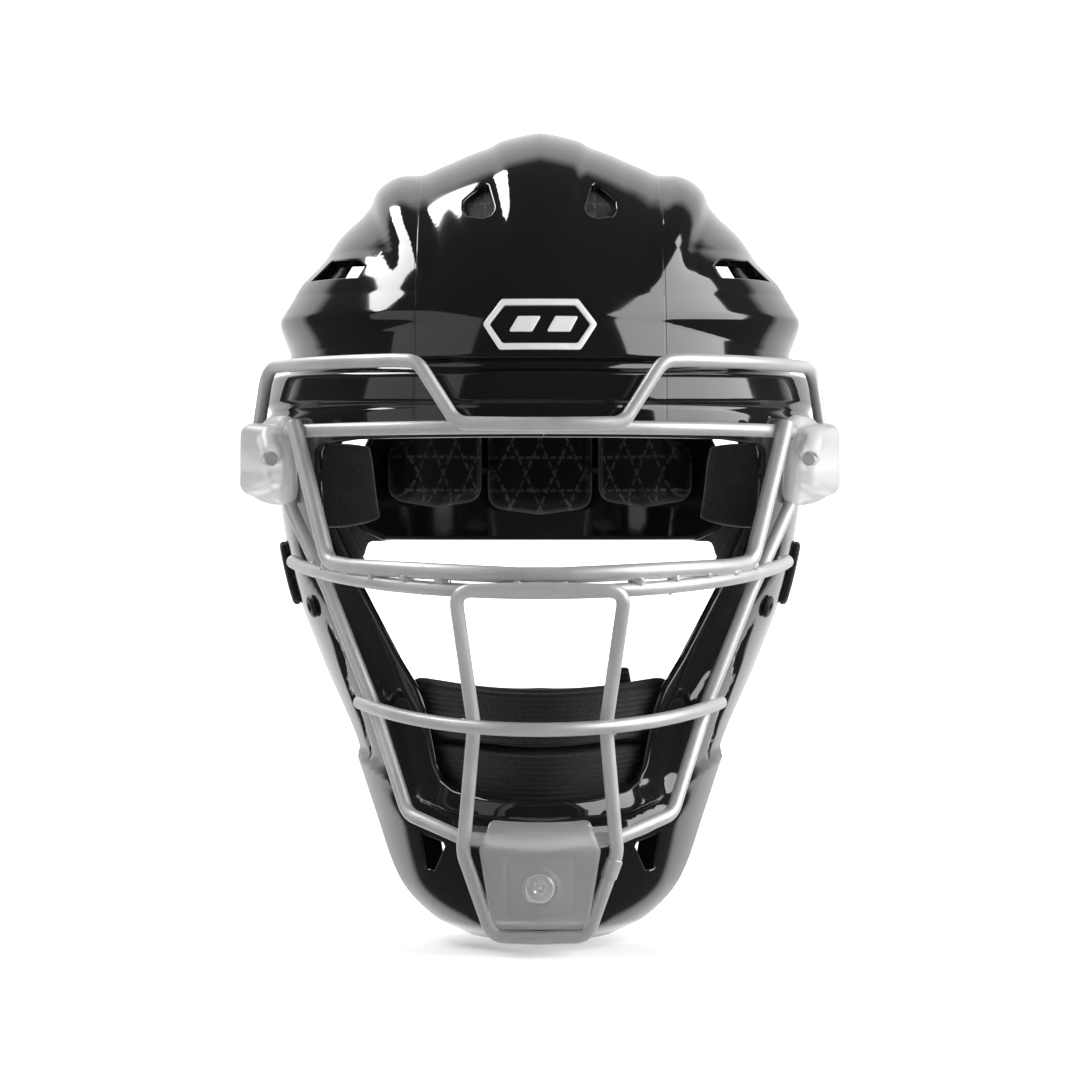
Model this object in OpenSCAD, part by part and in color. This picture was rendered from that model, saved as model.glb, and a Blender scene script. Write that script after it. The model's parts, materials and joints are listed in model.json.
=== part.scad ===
// Catcher's helmet of the hockey style: a one-piece front shell with a welded wire cage held by
// three clear clips, foam pads, and a back plate that floats on three elastic straps.
// +X is the wearer's left, -Y the way the face looks, +Z up. The origin is the centre of the
// wearer's head, half-way between the ear canals.

/* [Shell] */
// Half width of the shell at the brow
shell_half_w = 107; // [102:1:112]
// Reach of the shell in front of the ears at the brow
shell_front = 124; // [120:1:128]
// Reach of the shell behind the ears
shell_back = 124; // [120:1:128]
// Height of the brow line, where the dome starts
brow_z = 40; // [38:1:42]
// Height of the dome above the brow line
dome_h = 125; // [120:1:130]
// Height from the brow line down to the chin's lowest edge
jaw_h = 190; // [186:1:194]
// Wall thickness of the shell
shell_t = 4; // [3:0.5:5]

/* [Cage] */
// Diameter of the cage's wires
wire_d = 5.2; // [4.6:0.1:5.6]
// Diameter of the heavier wire around the eyes
eye_wire_d = 6.2; // [5.6:0.1:6.6]

/* [Clips] */
// Radius of a clip screw's shank
screw_r = 2.4; // [2:0.1:2.6]
// Radius of a clip screw's head
screw_head_r = 5.6; // [5:0.1:6]

/* [Back plate] */
// Half width of the back plate's own curve
plate_half_w = 101; // [99:1:102]
// Reach of the back plate behind the ears
plate_back = 117; // [114:1:118]
// Wall thickness of the back plate
plate_t = 3.5; // [3:0.5:4]
// Height of the plate's top edge
plate_top_z = 79; // [76:1:80]
// Width of the elastic straps
strap_w = 25; // [20:1:26]
// Thickness of the elastic straps
strap_t = 1.6; // [1.2:0.2:2]

/* [Accessory holes] */
// Bore radius of the eyelets in the jaw guard
eyelet_r = 1.6; // [1.4:0.1:1.8]
// Length of an eyelet's bore
eyelet_l = 6; // [5.5:0.5:6.5]

/* [Hidden] */
shell_black = [0.03, 0.03, 0.03];
wire_silver = [0.72, 0.73, 0.73];
clear_grey = [0.75, 0.77, 0.78, 0.6];
pad_black = [0.06, 0.06, 0.06];

// ---------- curves ----------
function mix(a, b, t) = a + (b - a) * t;
function clamp01(t) = max(0, min(1, t));
function smooth(e0, e1, x) = let (t = clamp01((x - e0) / (e1 - e0))) t * t * (3 - 2 * t);
function unit(v) = v / norm(v);

// Smooth curve through [x, y] stations in falling x, level at its first station.
function slope(s, i) =
    i <= 0 ? 0
    : i >= len(s) - 1 ? (s[i][1] - s[i - 1][1]) / (s[i][0] - s[i - 1][0])
    : (s[i + 1][1] - s[i - 1][1]) / (s[i + 1][0] - s[i - 1][0]);
function span(s, x, i = 0) = i >= len(s) - 2 || x >= s[i + 1][0] ? i : span(s, x, i + 1);
function curve(s, x) =
    x >= s[0][0] ? s[0][1]
    : x <= s[len(s) - 1][0] ? s[len(s) - 1][1]
    : let (
        i = span(s, x),
        w = s[i + 1][0] - s[i][0],
        t = (x - s[i][0]) / w,
        m0 = slope(s, i) * w,
        m1 = slope(s, i + 1) * w
    )
    (2 * pow(t, 3) - 3 * t * t + 1) * s[i][1] + (pow(t, 3) - 2 * t * t + t) * m0
    + (3 * t * t - 2 * pow(t, 3)) * s[i + 1][1] + (pow(t, 3) - t * t) * m1;

// ---------- the shell's outer surface ----------
// Half width and front reach below the brow line, as [height, size].
jaw_width = [
    [brow_z, shell_half_w], [10, 104.5], [-20, 98.5], [-48, 88], [-75, 77.5],
    [-105, 69.5], [-130, 62.5], [-144, 53], [brow_z - jaw_h, 42]
];
jaw_reach = [
    [brow_z, shell_front], [10, 125], [-20, 127], [-48, 129.5], [-75, 133],
    [-105, 138], [-130, 139.5], [-144, 134], [brow_z - jaw_h, 122]
];
// Ribs round the brow, as [height, relief], in the middle and at the sides.
brow_ribs_mid = [
    [112, 0], [92, 0.6], [86, 0.8], [80, 0.2], [70, 0], [67, 2], [60, 2.4],
    [54.5, 2], [52.5, 0.8], [47, 1.2], [41, 1], [20, 0]
];
brow_ribs_side = [
    [112, 0], [100, 2], [90, 4.6], [86, 5], [82, 2], [76, -4], [69, -6], [63.5, -2],
    [61, 2.6], [57, 3.2], [54, 3], [51.5, 1.4], [47, 2], [41, 1.5], [20, 0]
];
// Ribs over the crown, as [share of the shoulder ridge's distance, relief], outermost first.
crown_ribs = [
    [2.4, 0], [2.1, -0.8], [1.75, -3], [1.5, -2.6], [1.32, -0.8], [1.22, 1.6], [1.1, 1.8],
    [1, 0.6], [0.92, -3.6], [0.55, -5.8], [0.33, -4.6], [0.28, -2.8], [0, 0]
];

// Row height v: 0 at the brow line, 1 at the top of the dome, -1 at the chin's lowest edge.
function row_z(v) = v >= 0 ? brow_z + dome_h * sin(90 * v) : brow_z + jaw_h * v;
function row_of(z) = z >= brow_z ? asin(min(1, (z - brow_z) / dome_h)) / 90 : (z - brow_z) / jaw_h;
function half_w(v) = v >= 0 ? shell_half_w * cos(90 * v) : curve(jaw_width, row_z(v));
function reach(v) = v >= 0 ? shell_front * cos(90 * v) : curve(jaw_reach, row_z(v));
function back(v) = v >= 0 ? shell_back * cos(90 * v) : shell_back;

function shoulder_x(z) = max(1, 52 - 0.25 * (147 - z));
function relief(p, phi) =
    let (
        side = smooth(0.25, 0.85, abs(sin(phi))),
        rear = smooth(20, 90, p[1]),
        ribs = mix(curve(brow_ribs_mid, p[2]), curve(brow_ribs_side, p[2]), side),
        crown = curve(crown_ribs, abs(p[0]) / shoulder_x(p[2])) * smooth(92, 140, p[2])
    )
    ribs * (1 - 0.6 * rear) + crown;

// Point of the smooth form at azimuth phi (0 = face, 90 = +X) and row v, and its outward normal.
function form_point(phi, v) =
    let (c = cos(phi)) [half_w(v) * sin(phi), c > 0 ? -reach(v) * c : -back(v) * c, row_z(v)];
function form_normal(phi, v) =
    let (c = cos(phi), s = sin(phi), far = c > 0 ? reach(v) : back(v), e = 0.004)
    v >= 0
    ? unit([s * cos(90 * v), -c * cos(90 * v) * shell_half_w / shell_front, shell_half_w / dome_h * sin(90 * v)])
    : unit([
        s, -c * half_w(v) / far,
        -(s * s * (half_w(v) - half_w(v - e))
            + c * c * half_w(v) / far * (c > 0 ? reach(v) - reach(v - e) : 0)) / (e * jaw_h)
    ]);
// Point of the shell's surface, off outwards of it; ribs scales its relief.
function skin(phi, v, off = 0, ribs = 1) =
    let (p = form_point(phi, v)) p + form_normal(phi, v) * (ribs * relief(p, phi) + off);

// ---------- meshes from grids of points ----------
// Closed block between two grids of the same size, outer and inner, each a list of rows.
module block(outer, inner) {
    rows = len(outer);
    cols = len(outer[0]);
    size = rows * cols;
    points = concat([for (r = outer) for (p = r) p], [for (r = inner) for (p = r) p]);
    function at(i, j) = i * cols + j;
    polyhedron(points, concat(
        [for (i = [0:rows - 2]) for (j = [0:cols - 2]) each [
            [at(i, j), at(i, j + 1), at(i + 1, j + 1)],
            [at(i, j), at(i + 1, j + 1), at(i + 1, j)],
            [size + at(i, j), size + at(i + 1, j + 1), size + at(i, j + 1)],
            [size + at(i, j), size + at(i + 1, j), size + at(i + 1, j + 1)]
        ]],
        [for (i = [0:rows - 2]) each [
            [at(i, 0), at(i + 1, 0), size + at(i + 1, 0)],
            [at(i, 0), size + at(i + 1, 0), size + at(i, 0)],
            [at(i, cols - 1), size + at(i + 1, cols - 1), at(i + 1, cols - 1)],
            [at(i, cols - 1), size + at(i, cols - 1), size + at(i + 1, cols - 1)]
        ]],
        [for (j = [0:cols - 2]) each [
            [at(0, j), size + at(0, j + 1), at(0, j + 1)],
            [at(0, j), size + at(0, j), size + at(0, j + 1)],
            [at(rows - 1, j), at(rows - 1, j + 1), size + at(rows - 1, j + 1)],
            [at(rows - 1, j), size + at(rows - 1, j + 1), size + at(rows - 1, j)]
        ]]
    ));
}

// Closed solid of rings, capped by a fan at each end.
module rings(list, bottom, top) {
    n = len(list[0]);
    rows = len(list);
    points = concat([for (r = list) for (p = r) p], [bottom, top]);
    polyhedron(points, concat(
        [for (i = [0:rows - 2]) for (j = [0:n - 1]) let (k = (j + 1) % n) each [
            [i * n + j, (i + 1) * n + k, i * n + k], [i * n + j, (i + 1) * n + j, (i + 1) * n + k]
        ]],
        [for (j = [0:n - 1]) let (k = (j + 1) % n) each [
            [j, k, rows * n], [(rows - 1) * n + j, rows * n + 1, (rows - 1) * n + k]
        ]]
    ));
}

// Tube of diameter d along points, open or closed in a loop.
function tangent(pts, i, loop) =
    let (n = len(pts))
    loop ? unit(pts[(i + 1) % n] - pts[(i + n - 1) % n]) : unit(pts[min(i + 1, n - 1)] - pts[max(i - 1, 0)]);
function ring_at(pts, i, r, sides, loop) =
    let (
        t = tangent(pts, i, loop),
        u = unit(cross(t, abs(t[1]) < 0.9 ? [0, 1, 0] : [0, 0, 1])),
        w = cross(t, u)
    )
    [for (k = [0:sides - 1]) pts[i] + r * (cos(360 * k / sides) * u + sin(360 * k / sides) * w)];
module wire(pts, d, loop = false, sides = 8) {
    n = len(pts);
    points = [for (i = [0:n - 1]) each ring_at(pts, i, d / 2, sides, loop)];
    last = loop ? n - 1 : n - 2;
    polyhedron(points, concat(
        [for (i = [0:last]) for (k = [0:sides - 1])
            let (a = i * sides, b = (i + 1) % n * sides, m = (k + 1) % sides)
            each [[a + k, a + m, b + m], [a + k, b + m, b + k]]],
        loop ? [] : [[for (k = [sides - 1:-1:0]) k], [for (k = [0:sides - 1]) (n - 1) * sides + k]]
    ));
}

// Rounds the corners of a line of points: each corner is [point, radius].
function rounded(corners, loop = false, steps = 4) =
    let (n = len(corners))
    [for (i = [0:n - 1])
        let (
            p = corners[i][0],
            before = corners[(i + n - 1) % n][0],
            after = corners[(i + 1) % n][0],
            r = !loop && (i == 0 || i == n - 1) ? 0 : corners[i][1]
        )
        each r == 0 ? [p] : let (
            u = unit(before - p), w = unit(after - p),
            cut = min(r * tan(90 - acos(u * w) / 2), 0.45 * norm(before - p), 0.45 * norm(after - p)),
            a = p + u * cut, b = p + w * cut
        ) [for (k = [0:steps]) let (t = k / steps) mix(mix(a, p, t), mix(p, b, t), t)]];

module mirrored() {
    children();
    mirror([1, 0, 0]) children();
}

// ---------- front shell ----------
grid_step = 6;
shell_rows = concat(
    [for (z = [-150, -144, -137, -128, -116, -104, -92, -80, -68, -56, -44, -30, -15, 0, 15, 28])
        row_of(z)],
    [for (z = [40, 50, 55, 61, 66, 73, 80, 86, 93, 101, 110, 120, 130, 139, 147, 154, 160]) row_of(z)]
);
function shell_rings(off) =
    [for (v = shell_rows) [for (phi = [0:grid_step:359]) skin(phi, v, off)]];
module shell_body(off, drop) {
    below = [0, -40, row_z(-1) - drop];
    list = shell_rings(off);
    floor_ring = [for (p = list[0]) [p[0], p[1], below[2]]];
    rings(drop > 0 ? concat([floor_ring], list) : list, below, [0, 0, row_z(1) + off]);
}

// The face port, seen from the front: half outline as [x, z].
port_half = [
    [0, 40.5], [70, 40.5], [83, 39], [87, 35], [88, 26], [86.5, 0], [83, -9], [72.5, -20], [66, -32],
    [58, -46.5], [50.5, -58], [47.5, -66], [43.5, -86], [40.5, -91.5], [34, -94.5], [20, -96.8], [0, -97.5]
];
module face_port() {
    outline = concat(port_half, [for (i = [len(port_half) - 2:-1:1]) [-port_half[i][0], port_half[i][1]]]);
    translate([0, -30, 0]) rotate([90, 0, 0]) linear_extrude(height = 160) polygon(outline);
}
// The space behind and below the shell's rear edge, seen from the side: outline as [y, z].
rear_edge = [
    [150, 86], [108, 86], [92, 74], [76, 52], [64, 26], [55, 2], [42, -20], [18, -30],
    [-4, -37], [-24, -54], [-42, -74], [-58, -96], [-74, -122], [-88, -142], [-100, -156], [150, -156]
];
module rear_space() {
    rotate([90, 0, 90]) linear_extrude(height = 260, center = true) polygon(rear_edge);
}
// Stands children on the shell at azimuth phi and height z: their Z points out of it, their X down.
module on_shell(phi, z, off = 0) {
    v = row_of(z);
    n = form_normal(phi, v);
    translate(form_point(phi, v) + off * n) rotate([0, acos(n[2]), atan2(n[1], n[0])]) children();
}
// Vent of height h and width w.
module vent(phi, z, h, w, turn = 0) {
    on_shell(phi, z) rotate([0, 0, turn]) cube([h, w, 40], center = true);
}
module shell_vents() {
    mirrored() {
        vent(33, 139, 21, 15, 6);
        vent(140, 141, 22, 15, -6);
        vent(76, 107, 9, 26);
        vent(118, 112, 9, 26);
        vent(92, 128, 9, 24);
    }
}
module ear_hole() {
    rotate([90, 0, 90]) linear_extrude(height = 260, center = true)
        translate([10, 17]) offset(r = 6) polygon([[-10, -8], [8, -5], [4, 9], [-7, 9]]);
}
module chin_vents() {
    mirrored() translate([0, -60, 0]) rotate([90, 0, 0]) linear_extrude(height = 90)
        polygon([[34, -108], [46, -104], [45, -121], [39, -124]]);
}
module front_shell() {
    nut_clear = nut_r + 0.3;
    color(shell_black) resize([0, 0, 0]) difference() {
        shell_body(0, 0);
        shell_body(-shell_t, 6);
        face_port();
        rear_space();
        shell_vents();
        ear_hole();
        chin_vents();
        mirrored() eyelet_place() cylinder(r = eyelet_r + eyelet_wall + 0.1, h = 30, center = true, $fn = 24);
        mirrored() side_screw_place() cylinder(r = nut_clear, h = 40, center = true, $fn = 24);
        chin_screw_place() cylinder(r = nut_clear, h = 40, center = true, $fn = 24);
        mirrored() strap_slot_place() cube([strap_w + 3, 5, 30], center = true);
    }
}

// ---------- badge on the brow ----------
badge_zs = [71, 76, 80.5, 85, 90];
module brow_badge() {
    color("white") block(
        [for (z = badge_zs) [for (phi = [-12:3:12]) skin(phi, row_of(z), 1.3)]],
        [for (z = badge_zs) [for (phi = [-12:3:12]) skin(phi, row_of(z), 0.7)]]
    );
}

// ---------- cage ----------
// A point at x and z on a bar whose plan is an ellipse, half_width wide and reaching front.
function bar_point(x, z, half_width, front) = [x, -front * sqrt(1 - pow(x / half_width, 2)), z];
function bar_run(x0, x1, z0, z1, half_width, front, steps) =
    [for (k = [0:steps]) let (t = k / steps) [bar_point(mix(x0, x1, t), mix(z0, z1, t), half_width, front), 0]];
// A bar from x = -end to end, with its ends higher than its middle.
function arched(end, z_mid, z_end, half_width, front, steps = 18) =
    let (a_end = asin(end / half_width))
    [for (k = [0:steps]) let (
        a = mix(-a_end, a_end, k / steps),
        t = (1 - cos(a)) / (1 - cos(a_end))
    ) bar_point(half_width * sin(a), mix(z_mid, z_end, t), half_width, front)];
function flip(c) = [[-c[0][0], c[0][1], c[0][2]], c[1]];
function flip_back(list) = [for (i = [len(list) - 1:-1:0]) flip(list[i])];

brow_bar_left = concat(
    [[[-103.7, -80, 31], 0], [[-112.5, -46, 33], 8], [[-107.5, -45, 68], 9]],
    bar_run(-98, -55, 68, 67.5, 111, 133, 4),
    [[bar_point(-46, 67, 111, 133), 9], [bar_point(-31, 43.5, 111, 134.5), 9]],
    bar_run(-20, -7, 43.2, 43, 111, 135, 1)
);
outer_loop_left = concat(
    [[[0, -144.5, -112], 0], [[-29, -138.5, -110], 0], [[-49.5, -120, -102.5], 10], [[-64, -97, -61], 22],
     [[-81, -84, -20], 0], [[-98, -65, 15], 14], [[-99.5, -67, 42], 6]],
    bar_run(-93, 0, 42, 42, 116, 130, 9)
);
eye_frame_left = concat(
    [[[-94.5, -84.5, 45], 0], [[-80.5, -99.5, -8.5], 9]],
    bar_run(-72, -8, -10, -12.9, 103, 158, 6)
);
nose_loop_left = [
    [[0, -140, -146.8], 0], [[-17.5, -139.5, -146.3], 7], [[-28.5, -141.5, -115], 14],
    [[-27.5, -144, -106], 0], [[-24.2, -149, -68], 10], [[-31, -162, -18.5], 6], [[0, -163.6, -17.8], 0]
];
// A closed loop from its left half, whose first and last corners are in the middle.
function whole_loop(left) = concat(left, flip_back([for (i = [1:len(left) - 2]) left[i]]));
brow_bar_path = rounded(concat(brow_bar_left, flip_back(brow_bar_left)));
outer_loop_path = rounded(whole_loop(outer_loop_left), true);
nose_loop_path = rounded(whole_loop(nose_loop_left), true);

module cage_brow_bar() {
    color(wire_silver) wire(brow_bar_path, wire_d);
}
module cage_outer_loop() {
    color(wire_silver) wire(outer_loop_path, wire_d, true);
}
module cage_eye_frame() {
    color(wire_silver) wire(rounded(concat(eye_frame_left, flip_back(eye_frame_left))), eye_wire_d);
}
module cage_cheek_bar() {
    color(wire_silver) wire(arched(97, -19, -8.5, 103, 158), wire_d);
}
module cage_mouth_bar() {
    color(wire_silver) wire(arched(69, -69, -62, 83.7, 160, 14), wire_d);
}
module cage_nose_loop() {
    color(wire_silver) wire(nose_loop_path, wire_d, true);
}

// ---------- clips, screws and nuts ----------
module side_screw_place() {
    on_shell(73, 22) children();
}
module chin_screw_place() {
    translate([0, -139.5, -127.6]) rotate([90, 0, 0]) children();
}
clip_t = 4;
clip_gap = 1.2;
module side_clip() {
    color(clear_grey) difference() {
        union() {
            side_screw_place() translate([0, 0, clip_gap]) linear_extrude(height = clip_t)
                offset(r = 5, $fn = 24) polygon([[-14, -14], [3, -12], [3, 8], [-12, 3]]);
            hull() {
                translate([104.5, -72, 31]) sphere(r = 6.5, $fn = 16);
                translate([112, -50, 30]) sphere(r = 5, $fn = 16);
                translate([112, -44, 40]) sphere(r = 5, $fn = 16);
            }
        }
        side_screw_place() cylinder(r = screw_r + 0.3, h = 40, center = true, $fn = 24);
    }
}
// Side view of the chin clip as [y, z]: a plate that hooks over the cage's lower bar.
chin_clip_side = [
    [-151.5, -139], [-149.5, -142], [-147.5, -139], [-147.5, -109], [-146, -107.5], [-141, -107.5],
    [-141, -104], [-147, -104], [-150.5, -106], [-151.5, -109]
];
module chin_clip() {
    color(clear_grey) difference() {
        intersection() {
            rotate([90, 0, 90]) linear_extrude(height = 60, center = true) polygon(chin_clip_side);
            translate([0, -130, 0]) rotate([90, 0, 0]) linear_extrude(height = 30)
                polygon([[-17, -143], [17, -143], [22.5, -114], [18.5, -103], [-18.5, -103], [-22.5, -114]]);
        }
        chin_screw_place() cylinder(r = screw_r + 0.3, h = 40, center = true, $fn = 24);
    }
    color(clear_grey) chin_screw_place() difference() {
        translate([0, 0, 1]) cylinder(r = 6, h = 8.5, $fn = 48);
        cylinder(r = screw_r + 0.3, h = 40, center = true, $fn = 24);
    }
}
// Screw with its head's underside at height seat and its shank reaching down to height tip.
module clip_screw(seat, tip) {
    slot = [6.4, 1.4, 3];
    head_h = 2.6;
    color("silver") {
        translate([0, 0, tip]) cylinder(r = screw_r, h = seat - tip + 0.5, $fn = 32);
        difference() {
            translate([0, 0, seat]) cylinder(r = screw_head_r, h = head_h, $fn = 48);
            translate([0, 0, seat + head_h]) cube(slot, center = true);
            translate([0, 0, seat + head_h]) rotate(90) cube(slot, center = true);
        }
    }
}
nut_flange_r = 7;
nut_flange_t = 1.2;
nut_r = 3.8;
nut_l = 5;
module tee_nut() {
    color("gray") difference() {
        union() {
            cylinder(r = nut_flange_r, h = nut_flange_t, $fn = 48);
            cylinder(r = nut_r, h = nut_l, $fn = 32);
        }
        translate([0, 0, -1]) cylinder(r = screw_r + 0.05, h = nut_l + 2, $fn = 32);
    }
}
side_nut_depth = shell_t + nut_flange_t + 0.4;
chin_nut_depth = shell_t + nut_flange_t + 1.8;

// ---------- accessory eyelets ----------
eyelet_wall = 1.4;
module eyelet_place() {
    on_shell(67, -26) children();
}
module eyelet() {
    color("black") eyelet_place() difference() {
        union() {
            translate([0, 0, 0.4]) cylinder(r = eyelet_r + eyelet_wall + 1.4, h = 1.2, $fn = 48);
            translate([0, 0, 1.6 - eyelet_l]) cylinder(r = eyelet_r + eyelet_wall, h = eyelet_l, $fn = 48);
        }
        cylinder(r = eyelet_r, h = 30, center = true, $fn = 48);
    }
}

// ---------- pads inside the front shell ----------
pad_gap = 0.8;
// Pad of thickness t lying inside the shell on heights zs; at the first and last of them it runs
// between the azimuths from[0] to to[0] and from[1] to to[1].
module shell_pad(zs, from, to, t, gap = pad_gap, steps = 6) {
    function grid(off) = [for (z = zs)
        let (u = (z - zs[0]) / (zs[len(zs) - 1] - zs[0]), a = mix(from[0], from[1], u), b = mix(to[0], to[1], u))
        [for (k = [0:steps]) skin(mix(a, b, k / steps), row_of(z), off)]];
    color(pad_black) block(grid(-shell_t - gap), grid(-shell_t - gap - t));
}
module brow_pad() {
    shell_pad([42, 50, 61, 73], [-48, -48], [48, 48], 10, 3, 16);
}
module crown_pad_front() {
    shell_pad([101, 110, 120, 130, 139, 147, 154], [-48, -30], [48, 30], 9, 1, 12);
}
module crown_pad_rear() {
    shell_pad([110, 120, 130, 139, 147, 154], [140, 150], [220, 210], 9, 1, 10);
}
module temple_pad() {
    shell_pad([2, 15, 28, 38], [66, 66], [84, 84], 28, 3.2);
}
module jaw_pad() {
    shell_pad([-55, -44, -30, -16], [50, 62], [63, 84], 11, 1);
}
module chin_pad() {
    shell_pad([-98, -86, -74, -61], [-36, -44], [36, 44], 13, 6, 14);
}
module chin_pad_tab() {
    color(pad_black) translate([31, -93, -50.4]) hull() {
        cube([8, 3, 5], center = true);
        translate([0, 0, 3]) cube([5, 3, 2], center = true);
    }
}

// ---------- back plate ----------
plate_foot_z = 0;
function plate_size(z) = z > brow_z ? sqrt(1 - pow((z - brow_z) / dome_h, 2)) : 1;
// Point of the plate's outer surface, off outwards of it, at angle a from straight back.
function plate_point(a, z, off = 0) =
    let (s = plate_size(z), p = [plate_half_w * s * sin(a), plate_back * s * cos(a), z])
    p + off * unit([sin(a) / plate_half_w, cos(a) / plate_back, z > brow_z ? (z - brow_z) / pow(dome_h, 2) : 0]);
// Half angle that the plate covers, by height.
plate_spread = [
    [plate_top_z, 22], [74, 29], [66, 37], [56, 43], [40, 49], [22, 53], [10, 52.5], [4, 50], [plate_foot_z, 43]
];
module back_plate() {
    zs = [for (i = [len(plate_spread) - 1:-1:0]) plate_spread[i][0]];
    function grid(off) =
        [for (z = zs) let (edge = curve(plate_spread, z)) [for (k = [-10:10]) plate_point(-edge * k / 10, z, off)]];
    color(shell_black) block(grid(0), grid(-plate_t));
}
// The plate hangs from a round bar in a bracket at the top of its back.
hinge_y = plate_back + 1;
hinge_z = 72;
hinge_r = 2.5;
hinge_half_l = 19;
lug_w = 4;
module hinge_place() {
    translate([0, hinge_y, hinge_z]) rotate([0, 90, 0]) children();
}
module hinge_bar() {
    color("silver") hinge_place() cylinder(r = hinge_r, h = 2 * hinge_half_l, center = true, $fn = 48);
}
module hinge_bracket() {
    foot = hinge_z - 16;
    color("black") difference() {
        union() {
            translate([-hinge_half_l, hinge_y - 1.4, foot]) cube([2 * hinge_half_l, 1.6, 9]);
            mirrored() translate([hinge_half_l - lug_w, 0, 0]) rotate([90, 0, 90]) linear_extrude(height = lug_w)
                polygon([
                    [hinge_y - 1.4, foot], [hinge_y + 1, foot], [hinge_y + 4.5, hinge_z - 4],
                    [hinge_y + 4.5, hinge_z + 4], [hinge_y - 4, hinge_z + 4], [hinge_y - 4, hinge_z - 4]
                ]);
        }
        hinge_place() cylinder(r = hinge_r + 0.02, h = 60, center = true, $fn = 48);
    }
}
// Pad between angles a0 and a1 from straight back, kept clear of the plate's edge.
module rear_pad(a0, a1, foot) {
    zs = [foot, 25, 40, 52, 64];
    function inset(a, z) = let (edge = curve(plate_spread, z) - 7) max(-edge, min(edge, a));
    function grid(off) = [for (z = zs) [for (k = [0:6]) plate_point(inset(mix(a1, a0, k / 6), z), z, off)]];
    color(pad_black) block(grid(-plate_t - 0.6), grid(-plate_t - 15));
}

// ---------- straps ----------
// Flat band along points, its faces turned away from the head's upright axis.
module band(points, width, t) {
    n = len(points);
    function along(i) = unit(points[min(i + 1, n - 1)] - points[max(i - 1, 0)]);
    function across(i) = unit(cross(along(i), [points[i][0], points[i][1], 0]));
    function face(i) = unit(cross(across(i), along(i)));
    function grid(side) =
        [for (s = [-0.5, 0.5]) [for (i = [0:n - 1]) points[i] + s * width * across(i) + side * t / 2 * face(i)]];
    block(grid(-1), grid(1));
}
strap_z = -11;
strap_slot_phi = 99;
module strap_slot_place() {
    on_shell(strap_slot_phi, strap_z) children();
}
strap_gap = 0.9;
strap_lift = strap_t / 2 + 1.2;
plate_anchor = plate_point(45, 11, strap_lift + 1.4);
shell_leave = skin(118, row_of(strap_z), strap_t / 2 + strap_gap) + [1.2, 1.2, 0];
strap_way = unit(plate_anchor - shell_leave);
strap_mid = mix(shell_leave, plate_anchor, 0.45);
strap_face = unit([strap_way[1], -strap_way[0], 0]);
strap_up = cross(strap_face, strap_way);
slide_len = 13;
slide_gap = slide_len / 2 + 0.6;
// The side strap lies on the shell as far as its rear edge, then runs straight to its slide.
module side_strap() {
    function line(h, off) = concat(
        [for (phi = [strap_slot_phi:3:115]) skin(phi, row_of(strap_z + h), strap_gap + off)],
        [skin(118, row_of(strap_z + h), strap_gap + off) + [1.2, 1.2, 0],
            strap_mid - strap_way * slide_gap + strap_up * h + strap_face * (off - strap_t / 2)]);
    rows = [-strap_w / 2, 0, strap_w / 2];
    color([0.1, 0.1, 0.1]) block([for (h = rows) line(h, strap_t)], [for (h = rows) line(h, 0)]);
}
module strap_end() {
    color([0.1, 0.1, 0.1]) band(
        [strap_mid + strap_way * slide_gap, plate_anchor, plate_point(41, 12, strap_lift + 0.5),
            plate_point(36, 13, strap_lift), plate_point(32, 14, strap_lift)],
        strap_w, strap_t);
}
module strap_slide() {
    color("black") translate(strap_mid) rotate([0, 0, atan2(strap_way[1], strap_way[0])])
        rotate([0, -asin(strap_way[2]), 0]) rotate([90, 0, 0]) difference() {
            cube([slide_len, strap_w + 7, 3.4], center = true);
            for (x = [-3.2, 3.2]) translate([x, 0, 0]) cube([3, strap_w + 1, 8], center = true);
        }
}
module strap_tab() {
    color([0.1, 0.1, 0.1]) block(
        [for (z = [-26, -15, 0]) [for (phi = [83:5:98]) skin(phi, row_of(z), 3)]],
        [for (z = [-26, -15, 0]) [for (phi = [83:5:98]) skin(phi, row_of(z), 0.6)]]
    );
}
anchor_z = 104;
loop_top = [0, hinge_y - 1, hinge_z + 8];
module top_strap() {
    color([0.1, 0.1, 0.1]) band(
        concat([for (z = [112, 104, 96, 88]) skin(180, row_of(z), strap_t / 2 + strap_gap, 0)],
            [loop_top + [0, -0.2, 0.8]]),
        strap_w, strap_t);
}
module top_strap_loop() {
    color([0.1, 0.1, 0.1]) difference() {
        union() {
            hinge_place() cylinder(r = hinge_r + strap_t, h = strap_w, center = true, $fn = 48);
            translate([0, hinge_y - 1, hinge_z + 4.5]) cube([strap_w, strap_t + 0.6, 7], center = true);
        }
        hinge_place() cylinder(r = hinge_r + 0.05, h = 60, center = true, $fn = 48);
    }
}
module top_strap_anchor() {
    color("black") on_shell(180, anchor_z) translate([0, 0, strap_t + strap_gap + 0.4])
        linear_extrude(height = 2) offset(r = 3, $fn = 32) square([8, strap_w + 2], center = true);
}
module rivet_head() {
    cylinder(r = 4, h = 1.6, $fn = 32);
}
module plate_rivets() {
    color("silver") mirrored() for (z = [6, 18]) {
        p = plate_point(36, z, strap_lift + strap_t / 2 + 0.4);
        n = unit(p - plate_point(36, z));
        translate(p) rotate([0, 90, atan2(n[1], n[0])]) rivet_head();
    }
}

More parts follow.
